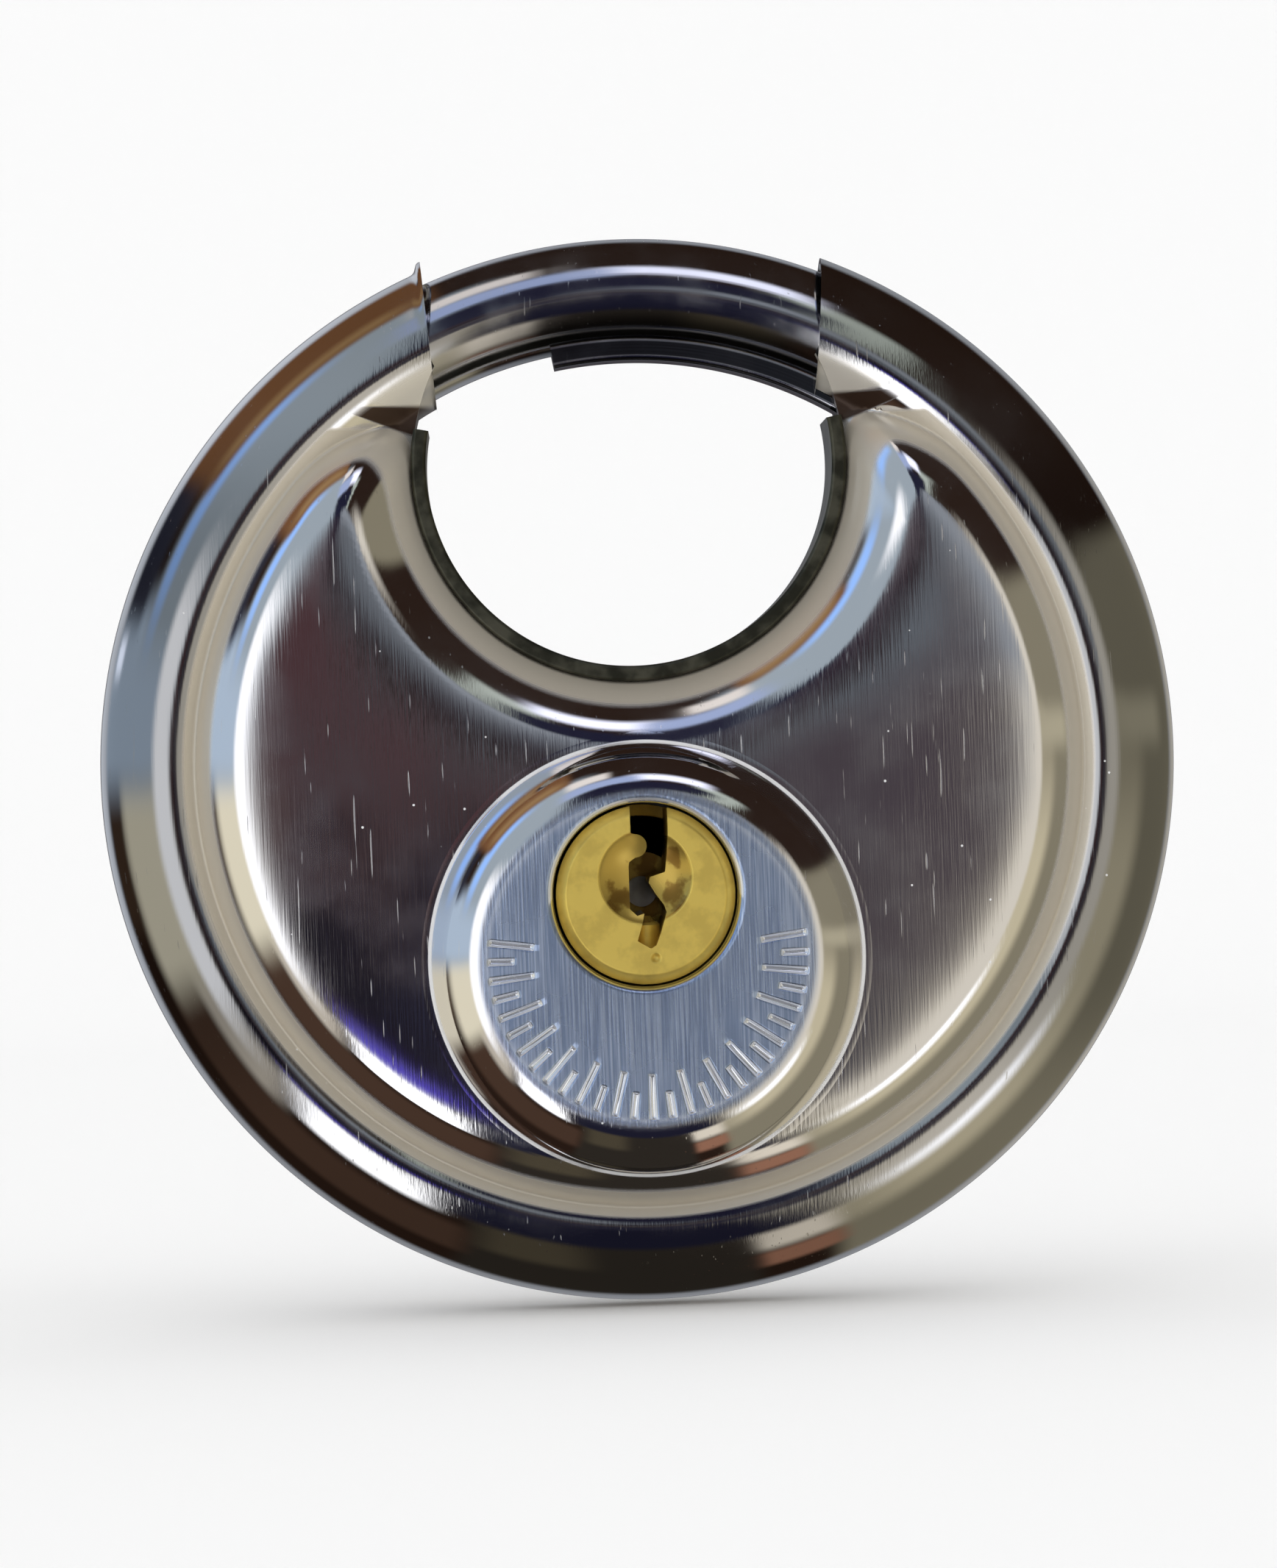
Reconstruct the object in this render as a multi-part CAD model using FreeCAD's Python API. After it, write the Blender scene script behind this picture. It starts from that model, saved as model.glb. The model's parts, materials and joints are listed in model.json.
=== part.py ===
"""Disc padlock with a swinging round shackle.

Millimetres. Z is up with the shackle on top, the keyhole face looks towards -Y and X runs to the right
as the keyhole face is seen. Every shape is drawn about the centre of the disc and then moved, so that the
origin of the finished part is the centre of the shackle opening (the throat).
"""
import FreeCAD, Part
import math
import os

V = FreeCAD.Vector

# --- body of the lock -------------------------------------------------------------------------------
DISC_RADIUS = 35.0
RING_CENTRE_RADIUS = 30.6
RING_HALF_WIDTH = DISC_RADIUS - RING_CENTRE_RADIUS
RING_HALF_DEPTH = 5.0
SHEET = 0.6
PLATEAU_RADIUS = 28.9
PLATEAU_SHOULDER = 3.35
PLATEAU_HALF_DEPTH = 7.8
SHOULDER_FOOT = 4.0
THROAT_Z = 19.35
THROAT_WALL_RADIUS = 14.0
THROAT_SHOULDER = 4.3
HORN_TOP_Z = 22.3
HORN_SHOULDER = 4.4
HORN_CORNER_RADIUS = 3.0
MOUTH_OUTER = (13.3, 35.9)
MOUTH_INNER = (12.25, 23.0)
BOSS_Z = -12.6
BOSS_RADIUS = 13.9
BOSS_SHOULDER = 3.1
BOSS_HALF_DEPTH = 10.8
BOSS_RISE = BOSS_HALF_DEPTH - PLATEAU_HALF_DEPTH

# --- throat lining ----------------------------------------------------------------------------------
LINER_INNER_RADIUS = 13.1
LINER_HALF_WIDTH = 4.6
LINER_END_ANGLE = 11.0

# --- lock cylinder ----------------------------------------------------------------------------------
PLUG_Z = -8.46
PLUG_RADIUS = 5.85
PLUG_FRONT_Y = -10.75
PLUG_REAR_Y = 4.3
PLUG_BEVEL = 0.7
PLUG_FIT = 0.05
KEYHOLE_RADIUS = 6.2
KEYHOLE_EDGE_RADIUS = 0.45
DISH_RADIUS = 3.05
DISH_RISE = 1.5
DISH_DEPTH = 0.55
KEYWAY_REAR_Y = 3.3
HOUSING_RADIUS = 7.6
HOUSING_FRONT_Y = -9.25
HOUSING_REAR_Y = 3.5
GUARD_RADIUS = 10.7
CHAMBER_BLOCK_HALF_WIDTH = 2.5
CHAMBER_BLOCK_FOOT_Z = -20.6
CHAMBER_COVER = 0.5
PIN_COUNT = 5
PIN_PITCH = 2.4
FIRST_PIN_Y = -7.9
PIN_RADIUS = 0.9
PIN_FIT = 0.06
KEY_PIN_TIPS = (1.4, 2.6, 1.9, 2.8, 2.2)
DRIVER_LENGTH = 2.7
SPRING_WIRE_RADIUS = 0.13
SPRING_RADIUS = 0.7
SPRING_TURNS = 5.5
CLIP_FRONT_Y = 3.55
CLIP_THICKNESS = 0.4
CLIP_GROOVE_RADIUS = 5.1
CLIP_RADIUS = 6.9
CLIP_OPENING = 40.0

# --- drive from the plug to the shackle -------------------------------------------------------------
LEVER_LENGTH = 15.2
LEVER_REST_ANGLE = 45.0
LEVER_FRONT_Y = PLUG_REAR_Y
LEVER_THICKNESS = 1.6
LEVER_HUB_RADIUS = 5.0
LEVER_TIP_RADIUS = 2.1
LEVER_SPIGOT_RADIUS = 2.6
LEVER_SPIGOT_FLAT = 2.0
DRIVE_PIN_RADIUS = 1.1
DRIVE_PIN_FRONT_Y = -1.4
SCREW_RADIUS = 1.0
SCREW_HEAD_RADIUS = 1.75
SCREW_HEAD_HEIGHT = 1.4

# --- shackle ----------------------------------------------------------------------------------------
ROD_RADIUS = 3.55
ROD_TIP_ANGLE = -34.5
ROD_TAIL_ANGLE = 157.5
ROD_END_ROUND = 0.8
RIB_START_ANGLE = -10.0
RIB_INNER_RADIUS = 26.15
RIB_OUTER_RADIUS = 28.4
RIB_HALF_WIDTH = 1.8
RIB_CLEARANCE = 0.3
FORK_HALF_THICKNESS = 1.2
FORK_INNER_RADIUS = 21.75
FORK_OUTER_RADIUS = 33.0
FORK_HALF_SPAN = 7.4
FORK_SLOT_END_RADIUS = 25.1
FORK_SLOT_HALF_WIDTH = DRIVE_PIN_RADIUS + 0.12
RIVET_RADIUS = 0.9
RIVET_ANGLE_STEP = 4.4

# --- inner frames -----------------------------------------------------------------------------------
FRAME_RADIUS = 23.9
FRAME_THROAT_RADIUS = 18.1
FRAME_SLACK = 0.05
FRONT_FRAME_INNER_Y = -5.3
REAR_FRAME_INNER_Y = 6.2
POST_RADIUS = 2.6
POSTS = ((-17.0, 4.0), (17.0, 4.0), (-20.6, -7.5), (20.6, -7.5))
EAR_X = 10.6
EAR_RADIUS = 2.5
EAR_REAR_Y = -2.8
SUPPORT_PLATE_RADIUS = 10.7
SUPPORT_PLATE_THICKNESS = 1.2
TIP_STOP_START = -35.6
TIP_STOP_END = -40.5
TIP_STOP_RADIUS = 3.8

SCREW_SLOT = 0.5
FRAME_SCREW_END_Y = -5.0
FRAME_SCREW_SEAT_Y = 5.6
EAR_SCREW_END_Y = -7.0
LEVER_SCREW_END_Y = 3.2
WASHER_RADIUS = 2.6
WASHER_THICKNESS = 0.3
REAR_FRAME_HOLE_RADIUS = 3.2
SPIGOT_SHORT = 0.1
PLUG_BEVEL_DEPTH = 0.45
PIN_CHAMBER_TOP = 0.4
PIN_POINT = 0.35
KEY_PIN_FOOT = 5.76
DRIVER_GAP = 0.05
RIVET_HALF_LENGTH = 3.3
FRAME_TOP_Z = 16.8
MOUTH_OVERRUN = 8.0
NECK_START = 15.0
NECK_END = 222.0
QUARTER_STEPS = 6

# --- keyway section, across and up from the axis of the plug ----------------------------------------
KEYWAY_LEFT_TOP = [(-1.02, 6.6), (-1.02, 3.95)]
WARD_CENTRE = (-0.75, 3.12)
WARD_RADIUS = 0.75
WARD_FROM = 90.0
WARD_TO = -90.0
WARD_STEPS = 8
KEYWAY_REST = [
    (-1.15, 2.1),
    (-1.2, 1.8),
    (-1.2, -0.9),
    (-0.75, -1.35),
    (-0.3, -1.2),
    (-0.42, -1.75),
    (-0.8, -2.95),
    (0.05, -3.45),
    (0.4, -3.25),
    (0.74, -2.4),
    (1.12, -1.15),
    (0.98, -0.7),
    (0.48, 0.0),
    (0.05, 0.75),
    (0.14, 1.1),
    (1.12, 1.4),
    (1.25, 2.5),
    (1.36, 3.9),
    (1.38, 6.6),
]

FAR = 60.0


def cylinder_y(radius, y0, y1, x=0.0, z=0.0):
    return Part.makeCylinder(radius, y1 - y0, V(x, y0, z), V(0, 1, 0))


def block(x0, x1, y0, y1, z0, z1):
    return Part.makeBox(x1 - x0, y1 - y0, z1 - z0, V(x0, y0, z0))


def on_ring(radius, angle):
    """Point at a clockwise angle from the top, about the centre of the disc."""
    a = math.radians(angle)
    return V(radius * math.sin(a), 0, radius * math.cos(a))


def face_of(points):
    return Part.Face(Part.makePolygon(points + [points[0]]))


def prism_y(outline, y0, y1):
    """A flat outline of (x, z) corners, carried from y0 to y1."""
    return face_of([V(x, y0, z) for x, z in outline]).extrude(V(0, y1 - y0, 0))


def turned(edges, centre_z, angle=360.0):
    """A closed profile in the plane x, y turned about the axis through (0, centre_z) along Y."""
    return Part.Face(Part.Wire(edges)).revolve(V(0, 0, centre_z), V(0, 1, 0), angle)


def line(a, b):
    return Part.makeLine(a, b)


def quarter(centre, rx, ry, x_sign, y_sign):
    """A quarter of an ellipse in the plane x, y, from its end on x to its end on y."""
    points = []
    for step in range(QUARTER_STEPS + 1):
        a = 0.5 * math.pi * step / QUARTER_STEPS
        points.append(centre + V(x_sign * rx * math.cos(a), y_sign * ry * math.sin(a), 0))
    curve = Part.BSplineCurve()
    curve.interpolate(
        Points=points,
        InitialTangent=V(0, y_sign * ry, 0),
        FinalTangent=V(-x_sign * rx, 0, 0),
    )
    return curve.toShape()


def sector(r0, r1, half_depth, start, end, centre_z=0.0):
    """Part of a flat ring about Y, between two clockwise angles from the top."""
    corners = [V(r0, -half_depth, 0), V(r1, -half_depth, 0), V(r1, half_depth, 0), V(r0, half_depth, 0)]
    profile = face_of(corners)
    profile.rotate(V(0, 0, 0), V(0, 1, 0), start - 90.0)
    ring = profile.revolve(V(0, 0, 0), V(0, 1, 0), end - start)
    ring.translate(V(0, 0, centre_z))
    return ring


def bent_bar(radius, start, end):
    """Round bar bent on the ring's centre circle, between two clockwise angles from the top."""
    section = Part.Face(Part.Wire(Part.makeCircle(radius, V(RING_CENTRE_RADIUS, 0, 0), V(0, 0, 1))))
    section.rotate(V(0, 0, 0), V(0, 1, 0), start - 90.0)
    return section.revolve(V(0, 0, 0), V(0, 1, 0), end - start)


# --- pressed shells ---------------------------------------------------------------------------------


def ring_tube(inset):
    """The round rim of the disc, an upright oval in section."""
    centre = V(RING_CENTRE_RADIUS, 0, 0)
    depth_end = centre + V(0, RING_HALF_DEPTH - inset, 0)
    width_end = centre + V(RING_HALF_WIDTH - inset, 0, 0)
    section = Part.Face(Part.Wire(Part.Ellipse(depth_end, width_end, centre).toShape()))
    return section.revolve(V(0, 0, 0), V(0, 1, 0), 360)


def rounded_disc(radius, shoulder, foot, half_depth, inset, centre_z):
    """A disc with both edges rolled over; the inset gives its inner skin."""
    x1 = radius - inset
    x0 = radius - shoulder
    top = half_depth - inset
    low = V(x0, -foot, 0)
    high = V(x0, foot, 0)
    rx = shoulder - inset
    ry = top - foot
    edges = [
        line(V(0, -top, 0), V(x0, -top, 0)),
        quarter(low, rx, ry, 1, -1),
        line(V(x1, -foot, 0), V(x1, foot, 0)),
        quarter(high, rx, ry, 1, 1),
        line(V(x0, top, 0), V(0, top, 0)),
        line(V(0, top, 0), V(0, -top, 0)),
    ]
    disc = turned(Part.__sortEdges__(edges), 0.0)
    disc.translate(V(0, 0, centre_z))
    return disc


def throat_tool(inset):
    """What the shackle opening takes out of the raised middle, flared to both faces."""
    x0 = THROAT_WALL_RADIUS + inset
    x1 = THROAT_WALL_RADIUS + THROAT_SHOULDER
    top = PLATEAU_HALF_DEPTH - inset
    rx = THROAT_SHOULDER - inset
    ry = top - SHOULDER_FOOT
    edges = [
        line(V(0, -FAR, 0), V(x1, -FAR, 0)),
        line(V(x1, -FAR, 0), V(x1, -top, 0)),
        quarter(V(x1, -SHOULDER_FOOT, 0), rx, ry, -1, -1),
        line(V(x0, -SHOULDER_FOOT, 0), V(x0, SHOULDER_FOOT, 0)),
        quarter(V(x1, SHOULDER_FOOT, 0), rx, ry, -1, 1),
        line(V(x1, top, 0), V(x1, FAR, 0)),
        line(V(x1, FAR, 0), V(0, FAR, 0)),
        line(V(0, FAR, 0), V(0, -FAR, 0)),
    ]
    tool = turned(Part.__sortEdges__(edges), 0.0)
    tool.translate(V(0, 0, THROAT_Z))
    return tool


def horn_tool(inset):
    """What is taken off above the two horns beside the opening, rolled over like the other edges."""
    top = HORN_TOP_Z - inset
    knee = HORN_TOP_Z - HORN_SHOULDER
    depth = PLATEAU_HALF_DEPTH - inset
    rx = HORN_SHOULDER - inset
    ry = depth - SHOULDER_FOOT
    edges = [
        line(V(FAR, -FAR, 0), V(knee, -FAR, 0)),
        line(V(knee, -FAR, 0), V(knee, -depth, 0)),
        quarter(V(knee, -SHOULDER_FOOT, 0), rx, ry, 1, -1),
        line(V(top, -SHOULDER_FOOT, 0), V(top, SHOULDER_FOOT, 0)),
        quarter(V(knee, SHOULDER_FOOT, 0), rx, ry, 1, 1),
        line(V(knee, depth, 0), V(knee, FAR, 0)),
        line(V(knee, FAR, 0), V(FAR, FAR, 0)),
        line(V(FAR, FAR, 0), V(FAR, -FAR, 0)),
    ]
    tool = Part.Face(Part.Wire(Part.__sortEdges__(edges))).extrude(V(0, 0, 2 * FAR))
    tool.rotate(V(0, 0, 0), V(0, 1, 0), -90)
    tool.translate(V(FAR, 0, 0))
    return tool


def mouth_tool():
    """The gap in the rim that the shackle crosses, a little wider at the outside."""
    (x1, z1), (x0, z0) = MOUTH_OUTER, MOUTH_INNER
    slope = (x1 - x0) / (z1 - z0)
    low = THROAT_Z - MOUTH_OVERRUN
    high = DISC_RADIUS + MOUTH_OVERRUN
    xl = x0 + slope * (low - z0)
    xh = x0 + slope * (high - z0)
    return prism_y([(-xl, low), (-xh, high), (xh, high), (xl, low)], -FAR, FAR)


def skin(inset):
    """The outside of the closed body, or its inside when inset by the sheet."""
    plateau = rounded_disc(
        PLATEAU_RADIUS, PLATEAU_SHOULDER, SHOULDER_FOOT, PLATEAU_HALF_DEPTH, inset, 0.0
    )
    plateau = plateau.cut(throat_tool(inset)).cut(horn_tool(inset))
    boss = rounded_disc(
        BOSS_RADIUS, BOSS_SHOULDER, PLATEAU_HALF_DEPTH, BOSS_HALF_DEPTH, inset, BOSS_Z
    )
    return ring_tube(inset).fuse([plateau, boss])


def keyhole_tool():
    """Round hole for the plug, its front edge rolled over."""
    e = KEYHOLE_EDGE_RADIUS
    r = KEYHOLE_RADIUS
    face = -BOSS_HALF_DEPTH
    edges = [
        line(V(0, 0, 0), V(r, 0, 0)),
        line(V(r, 0, 0), V(r, face + e, 0)),
        quarter(V(r + e, face + e, 0), e, e, -1, -1),
        line(V(r + e, face, 0), V(r + e, -FAR, 0)),
        line(V(r + e, -FAR, 0), V(0, -FAR, 0)),
        line(V(0, -FAR, 0), V(0, 0, 0)),
    ]
    tool = turned(Part.__sortEdges__(edges), 0.0)
    tool.translate(V(0, 0, PLUG_Z))
    return tool


def shells():
    neck = sector(
        RIB_INNER_RADIUS - RIB_CLEARANCE,
        RIB_OUTER_RADIUS + RIB_CLEARANCE,
        RIB_HALF_WIDTH + RIB_CLEARANCE,
        NECK_START,
        NECK_END,
    )
    wall = skin(0.0).cut(skin(SHEET)).cut(mouth_tool()).cut(neck)
    front = wall.common(block(-FAR, FAR, -FAR, 0, -FAR, FAR)).cut(keyhole_tool())
    rear = wall.common(block(-FAR, FAR, 0, FAR, -FAR, FAR))
    return {"front_shell": front, "rear_shell": rear}


def throat_liner():
    """Strip bent round the opening; its edges stand a little proud of the shells."""
    return {
        "throat_liner": sector(
            LINER_INNER_RADIUS,
            THROAT_WALL_RADIUS,
            LINER_HALF_WIDTH,
            90.0 - LINER_END_ANGLE,
            270.0 + LINER_END_ANGLE,
            THROAT_Z,
        )
    }


# --- inner frames -----------------------------------------------------------------------------------


def plate_outline(y0, y1):
    """Flat plate that fills the raised middle and leaves the shackle's track free."""
    plate = cylinder_y(FRAME_RADIUS, y0, y1)
    plate = plate.cut(cylinder_y(FRAME_THROAT_RADIUS, -FAR, FAR, 0, THROAT_Z))
    return plate.common(block(-FAR, FAR, -FAR, FAR, -FAR, FRAME_TOP_Z))


def front_frame():
    face = -(PLATEAU_HALF_DEPTH - SHEET)
    frame = plate_outline(face, FRONT_FRAME_INNER_Y)
    for x, z in POSTS:
        frame = frame.fuse(cylinder_y(POST_RADIUS, FRONT_FRAME_INNER_Y, 0, x, z))
        frame = frame.cut(cylinder_y(SCREW_RADIUS, FRAME_SCREW_END_Y, 0, x, z))
    frame = frame.cut(cylinder_y(HOUSING_RADIUS + FRAME_SLACK, -FAR, 0, 0, PLUG_Z))
    w = CHAMBER_BLOCK_HALF_WIDTH + FRAME_SLACK
    foot = CHAMBER_BLOCK_FOOT_Z - CHAMBER_COVER - FRAME_SLACK
    frame = frame.cut(block(-w, w, -FAR, 0, foot, PLUG_Z))
    for x in (-EAR_X, EAR_X):
        frame = frame.cut(cylinder_y(SCREW_RADIUS, -FAR, 0, x, PLUG_Z))
    return frame


def rear_frame():
    face = PLATEAU_HALF_DEPTH - SHEET
    frame = plate_outline(REAR_FRAME_INNER_Y, face)
    for x, z in POSTS:
        frame = frame.fuse(cylinder_y(POST_RADIUS, 0, REAR_FRAME_INNER_Y, x, z))
        frame = frame.cut(cylinder_y(SCREW_RADIUS, 0, FRAME_SCREW_SEAT_Y, x, z))
        frame = frame.cut(cylinder_y(SCREW_HEAD_RADIUS, FRAME_SCREW_SEAT_Y, FAR, x, z))
    return frame.cut(cylinder_y(REAR_FRAME_HOLE_RADIUS, 0, FAR, 0, PLUG_Z))


def slotted_screw(x, z, tip_y, seat_y):
    """Screw along Y with its slotted head to the rear."""
    top = seat_y + SCREW_HEAD_HEIGHT
    head = cylinder_y(SCREW_HEAD_RADIUS, seat_y, top, x, z)
    screw = cylinder_y(SCREW_RADIUS, tip_y, seat_y, x, z).fuse(head)
    half = SCREW_SLOT / 2
    slot = block(x - FAR, x + FAR, top - SCREW_SLOT, FAR, z - half, z + half)
    return screw.cut(slot)


def frames():
    frame_screws = []
    for x, z in POSTS:
        frame_screws.append(slotted_screw(x, z, FRAME_SCREW_END_Y, FRAME_SCREW_SEAT_Y))
    support = cylinder_y(
        SUPPORT_PLATE_RADIUS,
        BOSS_HALF_DEPTH - SHEET - SUPPORT_PLATE_THICKNESS,
        BOSS_HALF_DEPTH - SHEET,
        0,
        BOSS_Z,
    )
    return {
        "front_guide_frame": front_frame(),
        "rear_guide_frame": rear_frame(),
        "frame_screws": Part.makeCompound(frame_screws),
        "rear_support_plate": support,
        "tip_stop": bent_bar(TIP_STOP_RADIUS, TIP_STOP_END, TIP_STOP_START),
    }


# --- lock cylinder ----------------------------------------------------------------------------------


def pin_positions():
    return [FIRST_PIN_Y + PIN_PITCH * i for i in range(PIN_COUNT)]


def upright(radius, y, z0, z1):
    return Part.makeCylinder(radius, z1 - z0, V(0, y, z0))


def cylinder_housing():
    body = cylinder_y(HOUSING_RADIUS, HOUSING_FRONT_Y, HOUSING_REAR_Y, 0, PLUG_Z)
    w = CHAMBER_BLOCK_HALF_WIDTH
    body = body.fuse(block(-w, w, HOUSING_FRONT_Y, HOUSING_REAR_Y, CHAMBER_BLOCK_FOOT_Z, PLUG_Z))
    for x in (-EAR_X, EAR_X):
        body = body.fuse(cylinder_y(EAR_RADIUS, FRONT_FRAME_INNER_Y, EAR_REAR_Y, x, PLUG_Z))
    web_foot = PLUG_Z - EAR_RADIUS
    web_top = PLUG_Z + EAR_RADIUS
    body = body.fuse(block(-EAR_X, EAR_X, FRONT_FRAME_INNER_Y, EAR_REAR_Y, web_foot, web_top))
    body = body.cut(cylinder_y(PLUG_RADIUS + PLUG_FIT, -FAR, FAR, 0, PLUG_Z))
    for y in pin_positions():
        body = body.cut(upright(PIN_RADIUS + PIN_FIT, y, CHAMBER_BLOCK_FOOT_Z, PLUG_Z))
    for x in (-EAR_X, EAR_X):
        body = body.cut(cylinder_y(SCREW_RADIUS, -FAR, FAR, x, PLUG_Z))
    return body


def guard_plate():
    guard = cylinder_y(GUARD_RADIUS, -(BOSS_HALF_DEPTH - SHEET), HOUSING_FRONT_Y, 0, BOSS_Z)
    return guard.cut(cylinder_y(KEYHOLE_RADIUS, -FAR, FAR, 0, PLUG_Z))


def keyway_outline():
    """Zig-zag slot open at the top of the plug, with one round ward on its left side."""
    (bx, bz), ward = WARD_CENTRE, WARD_RADIUS
    bump = []
    for step in range(WARD_STEPS + 1):
        a = math.radians(WARD_FROM + (WARD_TO - WARD_FROM) * step / WARD_STEPS)
        bump.append((bx + ward * math.cos(a), bz + ward * math.sin(a)))
    return KEYWAY_LEFT_TOP + bump + KEYWAY_REST


def pin_tip(top, radius):
    """Cone that points a key pin into the keyway."""
    height = radius * (1 - PIN_POINT)
    return Part.makeCone(radius, radius * PIN_POINT, height, V(0, 0, top - height))


def plug():
    body = cylinder_y(PLUG_RADIUS, PLUG_FRONT_Y + PLUG_BEVEL_DEPTH, PLUG_REAR_Y, 0, PLUG_Z)
    nose = Part.makeCone(
        PLUG_RADIUS - PLUG_BEVEL, PLUG_RADIUS, PLUG_BEVEL_DEPTH, V(0, PLUG_FRONT_Y, PLUG_Z), V(0, 1, 0)
    )
    body = body.fuse([nose, lever_spigot(0.0)])
    ball_radius = (DISH_RADIUS ** 2 + DISH_DEPTH ** 2) / (2 * DISH_DEPTH)
    ball = Part.makeSphere(ball_radius, V(0, PLUG_FRONT_Y + DISH_DEPTH - ball_radius, PLUG_Z + DISH_RISE))
    body = body.cut(ball)
    keyway = [(x, z + PLUG_Z) for x, z in keyway_outline()]
    body = body.cut(prism_y(keyway, -FAR, KEYWAY_REAR_Y))
    for y in pin_positions():
        body = body.cut(upright(PIN_RADIUS + PIN_FIT, y, PLUG_Z - PLUG_RADIUS - 1, PLUG_Z - PIN_CHAMBER_TOP))
    groove = cylinder_y(FAR, CLIP_FRONT_Y, CLIP_FRONT_Y + CLIP_THICKNESS, 0, PLUG_Z)
    groove = groove.cut(cylinder_y(CLIP_GROOVE_RADIUS, -FAR, FAR, 0, PLUG_Z))
    body = body.cut(groove)
    return body.cut(cylinder_y(SCREW_RADIUS, LEVER_SCREW_END_Y, FAR, 0, PLUG_Z))


def plug_clip():
    y1 = CLIP_FRONT_Y + CLIP_THICKNESS
    clip = cylinder_y(CLIP_RADIUS, CLIP_FRONT_Y, y1, 0, PLUG_Z)
    clip = clip.cut(cylinder_y(CLIP_GROOVE_RADIUS, -FAR, FAR, 0, PLUG_Z))
    reach = CLIP_RADIUS * 2
    half = math.radians(CLIP_OPENING / 2)
    wedge = [
        (0, PLUG_Z),
        (-reach * math.sin(half), PLUG_Z + reach * math.cos(half)),
        (reach * math.sin(half), PLUG_Z + reach * math.cos(half)),
    ]
    return clip.cut(prism_y(wedge, -FAR, FAR))


def pins():
    """Key pins, driver pins and their springs, with the pins standing as they do on a fitting key."""
    made = {}
    for number, y in enumerate(pin_positions(), 1):
        foot = PLUG_Z - KEY_PIN_FOOT
        tip = PLUG_Z - KEY_PIN_TIPS[number - 1]
        shaft_top = tip - PIN_RADIUS * (1 - PIN_POINT)
        key_pin = upright(PIN_RADIUS, y, foot, shaft_top)
        point = pin_tip(tip, PIN_RADIUS)
        point.translate(V(0, y, 0))
        made[f"key_pin_{number}"] = key_pin.fuse(point)
        top = PLUG_Z - PLUG_RADIUS - DRIVER_GAP
        made[f"driver_pin_{number}"] = upright(PIN_RADIUS, y, top - DRIVER_LENGTH, top)
        made[f"pin_spring_{number}"] = spring(y, CHAMBER_BLOCK_FOOT_Z, top - DRIVER_LENGTH)
    return made


def spring(y, z0, z1):
    """Open coil between two heights."""
    wire = SPRING_WIRE_RADIUS
    height = z1 - z0 - 2 * wire
    helix = Part.makeHelix(height / SPRING_TURNS, height, SPRING_RADIUS)
    section = Part.Wire(Part.makeCircle(wire, V(SPRING_RADIUS, 0, 0), V(0, 1, 0)))
    coil = Part.Wire(helix.Edges).makePipeShell([section], True, True)
    coil.translate(V(0, y, z0 + wire))
    return coil


def cylinder_parts():
    screws = []
    for x in (-EAR_X, EAR_X):
        screws.append(slotted_screw(x, PLUG_Z, EAR_SCREW_END_Y, EAR_REAR_Y))
    w = CHAMBER_BLOCK_HALF_WIDTH
    cover = block(
        -w, w, HOUSING_FRONT_Y, HOUSING_REAR_Y, CHAMBER_BLOCK_FOOT_Z - CHAMBER_COVER, CHAMBER_BLOCK_FOOT_Z
    )
    made = {
        "cylinder_housing": cylinder_housing(),
        "cylinder_screws": Part.makeCompound(screws),
        "drill_guard_plate": guard_plate(),
        "chamber_cover": cover,
        "plug": plug(),
        "plug_clip": plug_clip(),
    }
    made.update(pins())
    return made


# --- drive ------------------------------------------------------------------------------------------


def lever_spigot(extra_length):
    """Round stub with two flats on the tail of the plug, a little shorter than the lever is thick."""
    y1 = PLUG_REAR_Y + LEVER_THICKNESS - SPIGOT_SHORT + extra_length
    stub = cylinder_y(LEVER_SPIGOT_RADIUS, PLUG_REAR_Y, y1, 0, PLUG_Z)
    return stub.common(block(-LEVER_SPIGOT_FLAT, LEVER_SPIGOT_FLAT, -FAR, FAR, -FAR, FAR))


def drive_lever():
    """Tapered arm on the tail of the plug."""
    y0 = LEVER_FRONT_Y
    y1 = y0 + LEVER_THICKNESS
    lean = math.acos((LEVER_HUB_RADIUS - LEVER_TIP_RADIUS) / LEVER_LENGTH)
    down = math.radians(180.0 - LEVER_REST_ANGLE)
    tip = lever_tip()
    sides = []
    for centre, radius in ((V(0, 0, PLUG_Z), LEVER_HUB_RADIUS), (tip, LEVER_TIP_RADIUS)):
        pair = []
        for sign in (-1, 1):
            a = down + sign * lean
            pair.append((centre.x + radius * math.sin(a), centre.z + radius * math.cos(a)))
        sides.append(pair)
    arm = prism_y([sides[0][0], sides[0][1], sides[1][1], sides[1][0]], y0, y1)
    arm = arm.fuse(
        [
            cylinder_y(LEVER_HUB_RADIUS, y0, y1, 0, PLUG_Z),
            cylinder_y(LEVER_TIP_RADIUS, y0, y1, tip.x, tip.z),
        ]
    )
    hole = lever_spigot(SPIGOT_SHORT)
    return arm.cut(hole).cut(cylinder_y(DRIVE_PIN_RADIUS, -FAR, FAR, tip.x, tip.z))


def lever_tip():
    a = math.radians(LEVER_REST_ANGLE)
    return V(LEVER_LENGTH * math.sin(a), 0, PLUG_Z - LEVER_LENGTH * math.cos(a))


def drive():
    tip = lever_tip()
    rear = LEVER_FRONT_Y + LEVER_THICKNESS
    washer = cylinder_y(WASHER_RADIUS, rear, rear + WASHER_THICKNESS, 0, PLUG_Z)
    washer = washer.cut(cylinder_y(SCREW_RADIUS, -FAR, FAR, 0, PLUG_Z))
    return {
        "drive_lever": drive_lever(),
        "drive_pin": cylinder_y(DRIVE_PIN_RADIUS, DRIVE_PIN_FRONT_Y, rear, tip.x, tip.z),
        "lever_washer": washer,
        "lever_screw": slotted_screw(0, PLUG_Z, LEVER_SCREW_END_Y, rear + WASHER_THICKNESS),
    }


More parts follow.
